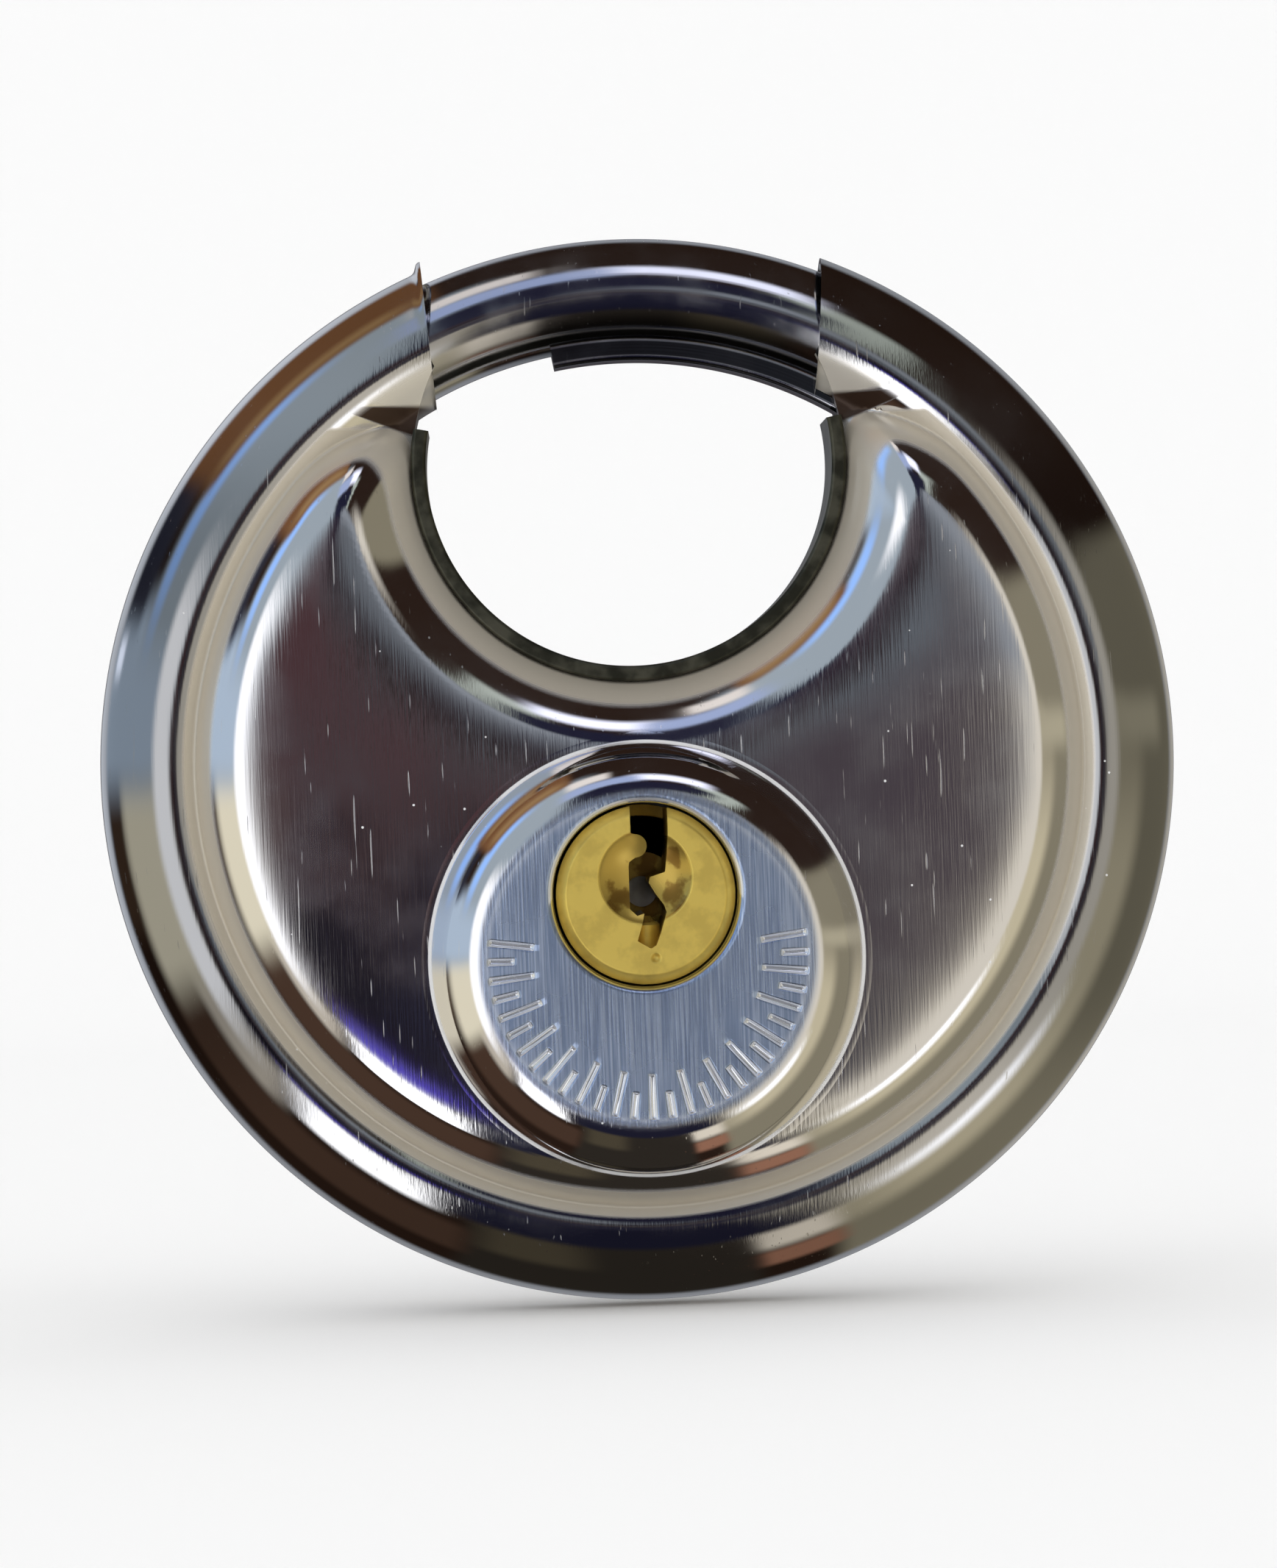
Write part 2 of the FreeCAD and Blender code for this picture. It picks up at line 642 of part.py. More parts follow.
# --- shackle ----------------------------------------------------------------------------------------


def fork_angle():
    tip = lever_tip()
    return math.degrees(math.atan2(tip.x, tip.z))


def rivet_places():
    return [fork_angle() - RIVET_ANGLE_STEP, fork_angle() + RIVET_ANGLE_STEP]


def fork_blank(outer_radius):
    """Flat plate of the fork, before its slot; it also cuts the slit in the bar that holds it."""
    return sector(
        FORK_INNER_RADIUS,
        outer_radius,
        FORK_HALF_THICKNESS,
        fork_angle() - FORK_HALF_SPAN,
        fork_angle() + FORK_HALF_SPAN,
    )


def shackle():
    """Round bar bent to the ring, with a keel on its inner side and a slit tail for the fork."""
    bar = bent_bar(ROD_RADIUS, ROD_TIP_ANGLE, ROD_TAIL_ANGLE)
    tip = on_ring(RING_CENTRE_RADIUS, ROD_TIP_ANGLE)
    rim = [edge for edge in bar.Edges if edge.Closed and edge.CenterOfMass.sub(tip).Length < ROD_RADIUS]
    bar = bar.makeChamfer(ROD_END_ROUND, rim)
    rib = sector(RIB_INNER_RADIUS, RIB_OUTER_RADIUS, RIB_HALF_WIDTH, RIB_START_ANGLE, ROD_TAIL_ANGLE)
    bar = bar.fuse(rib)
    bar = bar.cut(fork_blank(FAR))
    for angle in rivet_places():
        centre = on_ring(RING_CENTRE_RADIUS, angle)
        bar = bar.cut(cylinder_y(RIVET_RADIUS, -FAR, FAR, centre.x, centre.z))
    return bar


def tail_fork():
    """Flat fork in the tail of the shackle; its open slot takes the drive pin."""
    plate = fork_blank(FORK_OUTER_RADIUS)
    w = FORK_SLOT_HALF_WIDTH
    end = FORK_SLOT_END_RADIUS - w
    slot = block(-w, w, -FAR, FAR, 0, end).fuse(cylinder_y(w, -FAR, FAR, 0, end))
    slot.rotate(V(0, 0, 0), V(0, 1, 0), fork_angle())
    plate = plate.cut(slot)
    for angle in rivet_places():
        centre = on_ring(RING_CENTRE_RADIUS, angle)
        plate = plate.cut(cylinder_y(RIVET_RADIUS, -FAR, FAR, centre.x, centre.z))
    return plate


def shackle_parts():
    rivets = []
    for angle in rivet_places():
        centre = on_ring(RING_CENTRE_RADIUS, angle)
        rivets.append(cylinder_y(RIVET_RADIUS, -RIVET_HALF_LENGTH, RIVET_HALF_LENGTH, centre.x, centre.z))
    return {
        "shackle": shackle(),
        "tail_fork": tail_fork(),
        "tail_rivets": Part.makeCompound(rivets),
    }


def main():
    os.makedirs("parts", exist_ok=True)
    nodes = {}
    for group in (shells(), throat_liner(), frames(), cylinder_parts(), drive(), shackle_parts()):
        nodes.update(group)
    for name, shape in nodes.items():
        shape.translate(V(0, 0, -THROAT_Z))
        shape.exportStep(f"parts/{name}.step")


main()
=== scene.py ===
"""Disc padlock in polished stainless steel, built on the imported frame.

Metres in the scene; the dimensions below are millimetres, measured from the centre of the disc.
"""
import json
import math

import bpy
import numpy as np
from mathutils import Matrix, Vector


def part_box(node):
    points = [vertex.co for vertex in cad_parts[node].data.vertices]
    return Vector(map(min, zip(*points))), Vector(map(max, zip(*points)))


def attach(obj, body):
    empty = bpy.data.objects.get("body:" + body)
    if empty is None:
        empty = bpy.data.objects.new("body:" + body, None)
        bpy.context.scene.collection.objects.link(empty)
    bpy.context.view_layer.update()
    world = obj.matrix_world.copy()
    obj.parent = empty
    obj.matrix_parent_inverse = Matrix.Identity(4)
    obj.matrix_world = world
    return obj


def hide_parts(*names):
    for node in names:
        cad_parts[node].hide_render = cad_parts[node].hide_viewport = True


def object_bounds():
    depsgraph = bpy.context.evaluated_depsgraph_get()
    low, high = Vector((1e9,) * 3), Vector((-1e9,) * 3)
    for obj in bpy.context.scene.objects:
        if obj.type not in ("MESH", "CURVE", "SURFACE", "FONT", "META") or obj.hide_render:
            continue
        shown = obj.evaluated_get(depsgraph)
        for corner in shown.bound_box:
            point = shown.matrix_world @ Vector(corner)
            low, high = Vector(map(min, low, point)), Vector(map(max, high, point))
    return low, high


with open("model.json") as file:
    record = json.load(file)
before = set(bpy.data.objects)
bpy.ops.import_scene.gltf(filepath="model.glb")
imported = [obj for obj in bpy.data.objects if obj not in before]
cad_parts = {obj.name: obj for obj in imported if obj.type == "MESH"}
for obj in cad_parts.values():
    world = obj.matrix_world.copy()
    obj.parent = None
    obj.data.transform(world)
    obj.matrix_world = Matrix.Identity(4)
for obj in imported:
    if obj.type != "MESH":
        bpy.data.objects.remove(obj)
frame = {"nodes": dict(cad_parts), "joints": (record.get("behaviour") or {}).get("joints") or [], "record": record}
cad_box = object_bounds()

MM = 0.001
WELL_OUTSIDE = 9.0  # a distance that trim() never cuts at, in millimetres
JOINTS = {j["name"]: j for j in frame["joints"]}
DISC_AXIS = np.array(JOINTS["shackle_swing"]["pos_m"])
PLUG_Z = (JOINTS["plug_turn"]["pos_m"][2] - DISC_AXIS[2]) / MM
DISC_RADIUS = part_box("front_shell")[1][0] / MM
HALF_DEPTH = -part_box("front_shell")[0][1] / MM

# the rim tube and the sheet it is pressed from
RING_CREST = 30.1
RING_INNER = 26.2
RING_DEPTH = 5.0
SHEET = 0.6

# the raised middle: radius, depth, the foot its shoulders rise from, and their widths
PLATEAU_RADIUS = 28.9
PLATEAU_DEPTH = 7.8
FOOT = 4.0
RING_SHOULDER = 3.35
THROAT_SHOULDER = 4.3
HORN_SHOULDER = 4.4
HORN_TOP = 22.3
HORN_FLOOR = 3.5
CROWN = 0.022  # share of a shoulder's height given to the faint crown of the flat
FOLD_STEEPNESS = 0.10
SHOULDER_MEET = 0.25  # rounding where two shoulders meet
HORN_MEET = 0.75
RING_MEET = 0.35
FLOOR_MEET = 1.1

# the throat, its lining and the gap in the rim, whose sides lean by MOUTH_SLOPE
THROAT_Z = -DISC_AXIS[2] / MM
THROAT_RADIUS = 14.0
LINER_RADIUS = 13.1
LINER_HALF_WIDTH = 4.6
LINER_END = 11.0
LINER_EASE = 0.22
MOUTH_X, MOUTH_Z = 12.25, 23.0
MOUTH_SLOPE = 0.0814
LIP_FLARE = 0.6
WALL_LOW, WALL_HIGH = 81, 61.5

# the round raised plate
BOSS_Z = -12.6
BOSS_RADIUS = 13.9
BOSS_SHOULDER = 3.1
BOSS_SKIRT = 14.7
SKIRT_TURN = 0.4
SKIRT_LAP = 0.004  # how far its skirt lies over the sheet round it
KEYHOLE_EDGE = 6.4
KEYHOLE_WALL = 5.95
KEYHOLE_DEPTH = 1.4

# the stamped scale: strokes, long and short by turns
STROKE_STEP = 7.0
STROKE_LOW_LONG, STROKE_LOW_SHORT, STROKE_HIGH = 7.4, 8.6, 10.1
STROKE_HALF_WIDTH, STROKE_SIDE = 0.13, 0.10
STROKE_DEPTH = 0.2
STROKES_EACH_WAY = 14

# the bar and its keel, with clock angles of their ends
ROD_CENTRE = 30.6
ROD_RADIUS = 3.55
ROD_TIP, ROD_TAIL = -34.5, 157.5
TIP_ROUNDING = 0.9
KEEL_START, KEEL_END = -10.0, 143.0
KEEL_INNER, KEEL_ROOT = 26.15, 28.6
KEEL_HALF_WIDTH = 1.8
KEEL_EASE = 0.28
KEEL_LINE = 27.5  # where the keel comes out of the bar, as seen from in front

# the slot that lets the keel through the rim's inner wall, with clock angles of its ends
KEEL_GAP = 0.3
SLOT_OUTER = 28.7
SLOT_FROM, SLOT_TO = 10, 60

# the dark valley above each horn: where it is 1.6 mm high, and how it leans and narrows to the side
VALLEY_X = 14.9
VALLEY_HALF = 0.8
VALLEY_LEAN = 0.2

# the plug
PLUG_FACE = 10.75
PLUG_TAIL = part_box("plug")[1][1] / MM - 1.5
PLUG_RADIUS = 5.72
PLUG_FLAT = 5.12
BEVEL_DROP = 0.62
DISH_RADIUS = 3.0
DISH_RISE = 1.12
DISH_DEPTH = 0.8
DOT_X, DOT_Z, DOT_RADIUS, DOT_DEPTH = 0.5, -4.05, 0.24, 0.18
WARD_CENTRE, WARD_RADIUS = (-0.75, 3.12), 0.75
KEYWAY_SHIFT = 0.17
KEYWAY_BACK = 1.8
KEYWAY_TOP = [(-1.02, 6.6), (-1.02, 3.95)]
KEYWAY_REST = [
    (-1.15, 2.1), (-1.2, 1.8), (-1.2, -0.9), (-0.75, -1.35), (-0.3, -1.2), (-0.42, -1.75), (-0.8, -2.95),
    (0.05, -3.45), (0.4, -3.25), (0.74, -2.4), (1.12, -1.15), (0.98, -0.7), (0.48, 0.0), (0.05, 0.75),
    (0.14, 1.1), (1.12, 1.4), (1.25, 2.5), (1.36, 3.9), (1.38, 6.6),
]


# --- mesh making ------------------------------------------------------------------------------------


def unit(v):
    return v / np.maximum(np.linalg.norm(v, axis=-1, keepdims=True), 1e-12)


def grid_sheet(points, round_trip=False, flip=False):
    """A net of points as (corners, normals, faces); the normals come from the net's own slopes."""
    rows, cols = points.shape[:2]
    along = np.gradient(points, axis=0)
    if round_trip:
        across = np.roll(points, -1, axis=1) - np.roll(points, 1, axis=1)
    else:
        across = np.gradient(points, axis=1)
    normals = unit(np.cross(along, across))
    last = cols if round_trip else cols - 1
    i, j = np.meshgrid(np.arange(rows - 1), np.arange(last), indexing="ij")
    k = (j + 1) % cols
    faces = np.stack([i * cols + j, (i + 1) * cols + j, (i + 1) * cols + k, i * cols + k], axis=-1)
    faces = faces.reshape(-1, 4)
    if flip:
        normals = -normals
        faces = faces[:, ::-1]
    return points.reshape(-1, 3), normals.reshape(-1, 3), faces.tolist()


def trim(sheet, keep):
    """Cuts a sheet where keep(points) falls below zero, with a clean edge along the line."""
    points, normals, faces = sheet
    value = keep(points)
    extra_points, extra_normals, made, kept = [], [], {}, []
    for face in faces:
        inside = [value[v] >= 0 for v in face]
        if all(inside):
            kept.append(face)
            continue
        if not any(inside):
            continue
        cut = []
        for n, a in enumerate(face):
            b = face[(n + 1) % len(face)]
            if value[a] >= 0:
                cut.append(a)
            if (value[a] >= 0) != (value[b] >= 0):
                key = (min(a, b), max(a, b))
                if key not in made:
                    t = value[a] / (value[a] - value[b])
                    made[key] = len(points) + len(extra_points)
                    extra_points.append(points[a] + t * (points[b] - points[a]))
                    extra_normals.append(normals[a] + t * (normals[b] - normals[a]))
                cut.append(made[key])
        if len(cut) > 2:
            kept.append(cut)
    if extra_points:
        points = np.vstack([points, extra_points])
        normals = np.vstack([normals, unit(np.array(extra_normals))])
    return points, normals, kept


def piece(name, sheets, body, replaced=(), mirror=False):
    """One object from several sheets, in millimetres about the disc's axis, riding on a body."""
    corners, normals, faces = [], [], []
    start = 0
    for points, sheet_normals, sheet_faces in sheets:
        used = np.unique(np.concatenate([np.array(f) for f in sheet_faces]))
        place = -np.ones(len(points), int)
        place[used] = np.arange(len(used)) + start
        corners.append(points[used])
        normals.append(sheet_normals[used])
        faces += [[int(place[v]) for v in f] for f in sheet_faces]
        start += len(used)
    corners = np.vstack(corners) * MM
    normals = np.vstack(normals)
    if mirror:
        corners[:, 1] *= -1
        normals[:, 1] *= -1
        faces = [f[::-1] for f in faces]
    mesh = bpy.data.meshes.new(name)
    mesh.from_pydata((corners + DISC_AXIS).tolist(), [], faces)
    mesh.validate()
    mesh.shade_smooth()
    mesh.normals_split_custom_set_from_vertices(normals.tolist())
    made = bpy.data.objects.new(name, mesh)
    bpy.context.scene.collection.objects.link(made)
    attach(made, body)
    if replaced:
        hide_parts(*replaced)
    return made


# --- the form of the shell --------------------------------------------------------------------------


def soft_max(a, b, width):
    t = np.clip(0.5 + 0.5 * (a - b) / width, 0, 1)
    return b + (a - b) * t + width * t * (1 - t)


def soft_min(a, b, width):
    return -soft_max(-a, -b, width)


def rolled_edge(t):
    """Height of a rolled-over edge from its foot at 0 to the flat at 1; it runs on downwards below 0."""
    steep = FOLD_STEEPNESS
    low = math.sqrt(1 - 1 / (1 + steep) ** 2)
    inward = np.clip((t + steep) / (1 + steep), steep / (1 + steep), 1)
    rise = (np.sqrt(np.maximum(1 - (1 - inward) ** 2, 0)) - low) / (1 - low)
    slope = (1 / (1 + steep)) / low / (1 - low) / (1 + steep)
    crown = np.where(t < 1, 3 * (t - 1), 1 - np.exp(-3 * np.maximum(t - 1, 0)))
    return (1 - CROWN) * np.where(t < 0, slope * t, rise) + CROWN * crown


def ring_height(r):
    """Height of the rim tube, an ellipse each side of its crest; it dives steeply past its edges."""
    width = np.where(r > RING_CREST, DISC_RADIUS - RING_CREST, RING_CREST - RING_INNER)
    q = np.abs(r - RING_CREST) / width
    return np.where(q < 1, RING_DEPTH * np.sqrt(np.maximum(1 - q * q, 0)), -40 * (q - 1))


def tube_radius(section, inset=0.0):
    """Radius on the rim's skin, from 0 at its outer edge over the crest at 90 degrees to its inner edge."""
    width = np.where(np.cos(section) > 0, DISC_RADIUS - RING_CREST, RING_CREST - RING_INNER) - inset
    return RING_CREST + width * np.cos(section)


def plateau_height(x, z):
    """Height of the raised middle, rolled down towards the rim, the throat and the tops of its horns."""
    from_ring = (PLATEAU_RADIUS - np.hypot(x, z)) / RING_SHOULDER
    from_throat = (np.hypot(x, z - THROAT_Z) - THROAT_RADIUS) / THROAT_SHOULDER
    from_top = (HORN_TOP - z) / HORN_SHOULDER
    inward = soft_min(soft_min(from_ring, from_throat, SHOULDER_MEET), from_top, HORN_MEET)
    return FOOT + (PLATEAU_DEPTH - FOOT) * rolled_edge(inward)


def boss_height(x, z):
    """Height of the round raised plate."""
    inward = (BOSS_RADIUS - np.hypot(x, z - BOSS_Z)) / BOSS_SHOULDER
    return PLATEAU_DEPTH + (HALF_DEPTH - PLATEAU_DEPTH) * rolled_edge(inward)


def shell_height(x, z):
    """How far the front skin stands from the middle plane."""
    base = soft_max(ring_height(np.hypot(x, z)), plateau_height(x, z), RING_MEET)
    base = np.where(z > THROAT_Z, soft_max(base, HORN_FLOOR, FLOOR_MEET), base)
    return soft_max(base, boss_height(x, z), SHOULDER_MEET)


def from_mouth(points):
    """Distance outside the gap that the bar crosses, on the rim only."""
    x, z = np.abs(points[:, 0]), points[:, 2]
    gap = x - (MOUTH_X + MOUTH_SLOPE * (z - MOUTH_Z))
    return np.where(z > THROAT_Z, gap, WELL_OUTSIDE)


def outside_circle(centre_z, radius):
    """A keep function for what lies outside a circle."""
    return lambda p: np.hypot(p[:, 0], p[:, 2] - centre_z) - radius


def in_keel_slot(points):
    """Below zero where the keel runs through the rim's inner wall, right of the throat."""
    r = np.hypot(points[:, 0], points[:, 2])
    angle = np.degrees(np.arctan2(points[:, 0], points[:, 2]))
    depth = -points[:, 1]
    blocked = (r < SLOT_OUTER) & (angle > SLOT_FROM) & (angle < SLOT_TO)
    return np.where(blocked, depth - KEEL_HALF_WIDTH - KEEL_GAP, WELL_OUTSIDE)


def clock(radius, angle):
    """x and z at a clock angle, measured from straight up towards the right."""
    return radius * np.sin(angle), radius * np.cos(angle)


def rim_and_middle():
    """Rim tube and raised middle as one net about the disc's axis, trimmed to its openings."""
    near_mouth = np.linspace(20, 28, 36)
    around = np.concatenate([np.linspace(0, 359, 400), near_mouth, 360 - near_mouth])
    around = np.radians(np.unique(around))
    section = np.concatenate([[0.0, 0.35, 0.8, 1.6], np.linspace(3.2, 90, 34), np.linspace(93, 180, 40)])
    section = np.radians(section)
    tube_r = tube_radius(section)
    # the shallow groove of the seam where the two shells meet
    groove = 0.14 * np.exp(-((section / math.radians(1.3)) ** 2))
    inner_r = np.concatenate([np.linspace(tube_r[-1] - 0.12, 23.0, 16), np.linspace(22.7, 0.05, 66)])
    rows = []
    for n, r in enumerate(np.concatenate([tube_r, inner_r])):
        x, z = clock(r, around)
        tube = n < len(section)
        y = shell_height(x, z)
        if tube and section[n] < math.radians(90):
            y = np.full_like(x, RING_DEPTH * math.sin(section[n]))
            x, z = clock(r - groove[n], around)
            lip = np.maximum(from_mouth(np.stack([x, -y, z], axis=-1)), 0)
            flare = LIP_FLARE * np.exp(-((lip / 0.35) ** 2)) * math.cos(section[n]) ** 2 * (x < 0)
            x, z = x * (1 + flare / r), z * (1 + flare / r)
        rows.append(np.stack([x, -y, z], axis=-1))
    net = grid_sheet(np.array(rows), round_trip=True)
    net = trim(net, outside_circle(THROAT_Z, THROAT_RADIUS))
    net = trim(net, from_mouth)
    net = trim(net, in_keel_slot)
    return trim(net, outside_circle(BOSS_Z, BOSS_SKIRT - SKIRT_TURN))


def mark_depth(x, z):
    """Stamped scale of plain strokes round the lower part of the plate, long and short by turns."""
    r = np.hypot(x, z - BOSS_Z)
    angle = np.degrees(np.arctan2(x, -(z - BOSS_Z)))
    number = np.round(angle / STROKE_STEP)
    off = np.radians(np.abs(angle - number * STROKE_STEP)) * r
    low = np.where(np.abs(number) % 2 == 0, STROKE_LOW_LONG, STROKE_LOW_SHORT)
    end = np.maximum(low - r, r - STROKE_HIGH)
    away = np.maximum(off - STROKE_HALF_WIDTH, end)
    cut = np.clip(1 - np.maximum(away, 0) / STROKE_SIDE, 0, 1)
    cut = cut * cut * (3 - 2 * cut)
    return np.where(np.abs(number) <= STROKES_EACH_WAY, STROKE_DEPTH * cut, 0)


def raised_plate(keyhole):
    """The round raised plate as a net about its own axis."""
    around = np.radians(np.linspace(0, 360, 660 if keyhole else 360, endpoint=False))
    skirt = [np.linspace(BOSS_SKIRT, BOSS_RADIUS - 0.3, 11), np.linspace(13.45, 11.4, 15)]
    plate = [np.linspace(11.2, 10.35, 4), np.linspace(10.22, 7.25, 30), np.linspace(6.9, 0.05, 12)]
    rows = []
    for r in np.concatenate(skirt + plate):
        x, z = clock(r, around)
        z = z + BOSS_Z
        turned_in = np.clip((r - BOSS_SKIRT + SKIRT_TURN) / SKIRT_TURN, 0, 1)
        y = shell_height(x, z) + SKIRT_LAP * (1 - 2.5 * turned_in)
        if keyhole:
            y = y - mark_depth(x, z)
        rows.append(np.stack([x, -y, z], axis=-1))
    net = grid_sheet(np.array(rows), round_trip=True)
    if not keyhole:
        return [net]
    hole_rows = []
    turn = np.radians(np.linspace(0, 90, 10))
    round_off = KEYHOLE_EDGE - KEYHOLE_WALL
    radii = [[KEYHOLE_EDGE + 0.05], KEYHOLE_WALL + round_off * (1 - np.sin(turn)), [KEYHOLE_WALL]]
    depths = [[HALF_DEPTH], HALF_DEPTH - round_off * (1 - np.cos(turn)), [HALF_DEPTH - KEYHOLE_DEPTH]]
    for r, y in zip(np.concatenate(radii), np.concatenate(depths)):
        x, z = clock(r, np.radians(np.linspace(0, 360, 240, endpoint=False)))
        hole_rows.append(np.stack([x, np.full_like(x, -y), z + PLUG_Z], axis=-1))
    rolled_hole = grid_sheet(np.array(hole_rows), round_trip=True)
    return [trim(net, outside_circle(PLUG_Z, KEYHOLE_EDGE)), rolled_hole]


def mouth_edges():
    """The cut edge of the sheet at both sides of the gap, and the inside of the tube behind it."""
    section = np.radians(np.linspace(0, 180, 60))
    made = []
    lean = math.atan(MOUTH_SLOPE)
    reach = (MOUTH_X - MOUTH_SLOPE * MOUTH_Z) * math.cos(lean)
    for side in (-1, 1):
        curves = []
        flare = LIP_FLARE if side < 0 else 0.0
        for inset in (0.0, SHEET / 2):
            r = tube_radius(section, inset)
            y = (RING_DEPTH - inset) * np.sin(section)
            angle = lean + np.arcsin(reach / r)
            out = 1 + flare * np.clip(np.cos(section), 0, 1) ** 2 / r
            x, z = clock(r * out, side * angle)
            curves.append((x, -y, z, r, angle))
        edge = np.array([np.stack(c[:3], axis=-1) for c in curves])
        made.append(grid_sheet(edge, flip=side < 0))
        _, y, _, r, angle = curves[1]
        tube = []
        for turn in np.radians([0, 0.3, 0.6, 1.0, 2.0, 5.0, 10.0, 24.0]):
            out = 1 + flare * math.exp(-((turn / 0.01) ** 2)) * np.clip(np.cos(section), 0, 1) ** 2 / r
            tx, tz = clock(r * out, side * (angle + turn))
            tube.append(np.stack([tx, y, tz], axis=-1))
        inside = grid_sheet(np.array(tube), flip=side < 0)
        made.append(trim(inside, in_keel_slot) if side > 0 else inside)
    return made


def horn_walls():
    """Turned-in edge of the sheet beside the throat, above the lining, clear of the bar and keel."""
    made = []
    for side in (-1, 1):
        x, z = clock(THROAT_RADIUS, side * np.radians(np.linspace(WALL_LOW, WALL_HIGH, 40)))
        z = z + THROAT_Z
        top = shell_height(x, z)
        bar = np.sqrt(np.maximum((ROD_RADIUS + 0.1) ** 2 - (ROD_CENTRE - np.hypot(x, z)) ** 2, 0))
        foot = np.maximum(bar, KEEL_HALF_WIDTH + 0.2) if side > 0 else bar
        rows = [np.stack([x, -(foot + (top - foot) * t), z], axis=-1) for t in np.linspace(1, 0, 8)]
        made.append(grid_sheet(np.array(rows), flip=side > 0))
    return made


def shell(name, cad, keyhole):
    sheets = [rim_and_middle()] + raised_plate(keyhole) + mouth_edges() + horn_walls()
    return piece(name, sheets, "body", [cad], mirror=not keyhole)


# --- the bar ----------------------------------------------------------------------------------------


def shackle_bar():
    """Round bar bent to the disc's circle, its free end rounded over."""
    around = np.radians(np.linspace(0, 360, 96, endpoint=False))
    turn = np.radians(np.linspace(0, 90, 8))
    per_degree = ROD_CENTRE * math.pi / 180
    tip_angles = ROD_TIP + (TIP_ROUNDING - TIP_ROUNDING * np.sin(turn)) / per_degree
    tip_radii = ROD_RADIUS - TIP_ROUNDING + TIP_ROUNDING * np.cos(turn)
    bend = np.linspace(ROD_TIP + 2.2, ROD_TAIL, 260)
    angles = np.concatenate([[ROD_TIP], tip_angles[::-1], bend, [ROD_TAIL]])
    radii = np.concatenate([[0.02], tip_radii[::-1], np.full(len(bend), ROD_RADIUS), [0.02]])
    rows = []
    for a, size in zip(np.radians(angles), radii):
        r = ROD_CENTRE + size * np.cos(around)
        x, z = clock(r, a)
        rows.append(np.stack([x, -size * np.sin(around), z], axis=-1))
    bar = grid_sheet(np.array(rows), round_trip=True, flip=True)
    return [bar] + keel()


def keel():
    """The stepped keel on the inner side of the bar, its long edges eased."""
    turn = np.radians(np.linspace(0, 90, 6))
    near_y = -KEEL_HALF_WIDTH + KEEL_EASE - KEEL_EASE * np.cos(turn)
    near_r = KEEL_INNER + KEEL_EASE - KEEL_EASE * np.sin(turn)
    side_r = np.linspace(KEEL_ROOT, near_r[0] + 0.05, 8)
    side_y = np.full(8, KEEL_HALF_WIDTH)
    under_y = np.linspace(near_y[-1] + 0.05, -near_y[-1] - 0.05, 8)
    y = np.concatenate([-side_y, near_y, under_y, -near_y[::-1], side_y])
    r = np.concatenate([side_r, near_r, np.full(8, KEEL_INNER), near_r[::-1], side_r[::-1]])
    rows = []
    for a in np.radians(np.linspace(KEEL_START, KEEL_END, 200)):
        x, z = clock(r, a)
        rows.append(np.stack([x, y, z], axis=-1))
    sides = grid_sheet(np.array(rows), flip=True)
    cap_points = np.array(rows[0])
    a = math.radians(KEEL_START)
    facing = np.tile([-math.cos(a), 0, math.sin(a)], (len(cap_points), 1))
    cap = (cap_points, facing, [list(range(len(cap_points)))[::-1]])
    return [sides, cap]


# --- throat lining and plug -------------------------------------------------------------------------


def lining():
    """Strip bent round the throat, edges eased."""
    ease = LINER_EASE
    near_in = LINER_RADIUS + ease
    near_out = THROAT_RADIUS + 0.1 - ease
    near_front = -LINER_HALF_WIDTH + ease
    turn = np.radians(np.linspace(0, 90, 6))
    inner = [(near_in - ease * math.sin(t), near_front - ease * math.cos(t)) for t in turn]
    outer = [(near_out + ease * math.cos(t), near_front - ease * math.sin(t)) for t in turn]
    face = [(r, -LINER_HALF_WIDTH) for r in np.linspace(outer[-1][0] - 0.03, inner[0][0] + 0.03, 6)]
    outer_side = [(outer[0][0], y) for y in (0.0, -2.0, -4.0, outer[0][1] + 0.03)]
    inner_side = [(inner[-1][0], y) for y in (inner[-1][1] + 0.03, -4.0, -2.0)]
    front = outer_side + outer + face + inner + inner_side
    loop = front + [(LINER_RADIUS, 0.0)] + [(r, -y) for r, y in front[:0:-1]]
    loop_r, loop_y = np.array(loop).T
    angles = np.radians(np.linspace(90 - LINER_END, 270 + LINER_END, 160))
    rows = []
    for a in angles:
        x, z = clock(loop_r, a)
        rows.append(np.stack([x, loop_y, z + THROAT_Z], axis=-1))
    strip = grid_sheet(np.array(rows), round_trip=True, flip=True)
    caps = []
    for row, a, way in ((rows[0], angles[0], -1), (rows[-1], angles[-1], 1)):
        facing = np.tile([way * math.cos(a), 0, -way * math.sin(a)], (len(row), 1))
        order = list(range(len(row)))
        caps.append((np.array(row), facing, [order[::-1] if way < 0 else order]))
    return [strip] + caps


def keyway():
    """Outline of the keyway about the plug's axis, one ward bulging in from the left."""
    ward = []
    for a in np.radians(np.linspace(90, -90, 13)):
        ward.append((WARD_CENTRE[0] + WARD_RADIUS * math.cos(a), WARD_CENTRE[1] + WARD_RADIUS * math.sin(a)))
    return np.array(KEYWAY_TOP + ward + KEYWAY_REST) + (KEYWAY_SHIFT, 0)


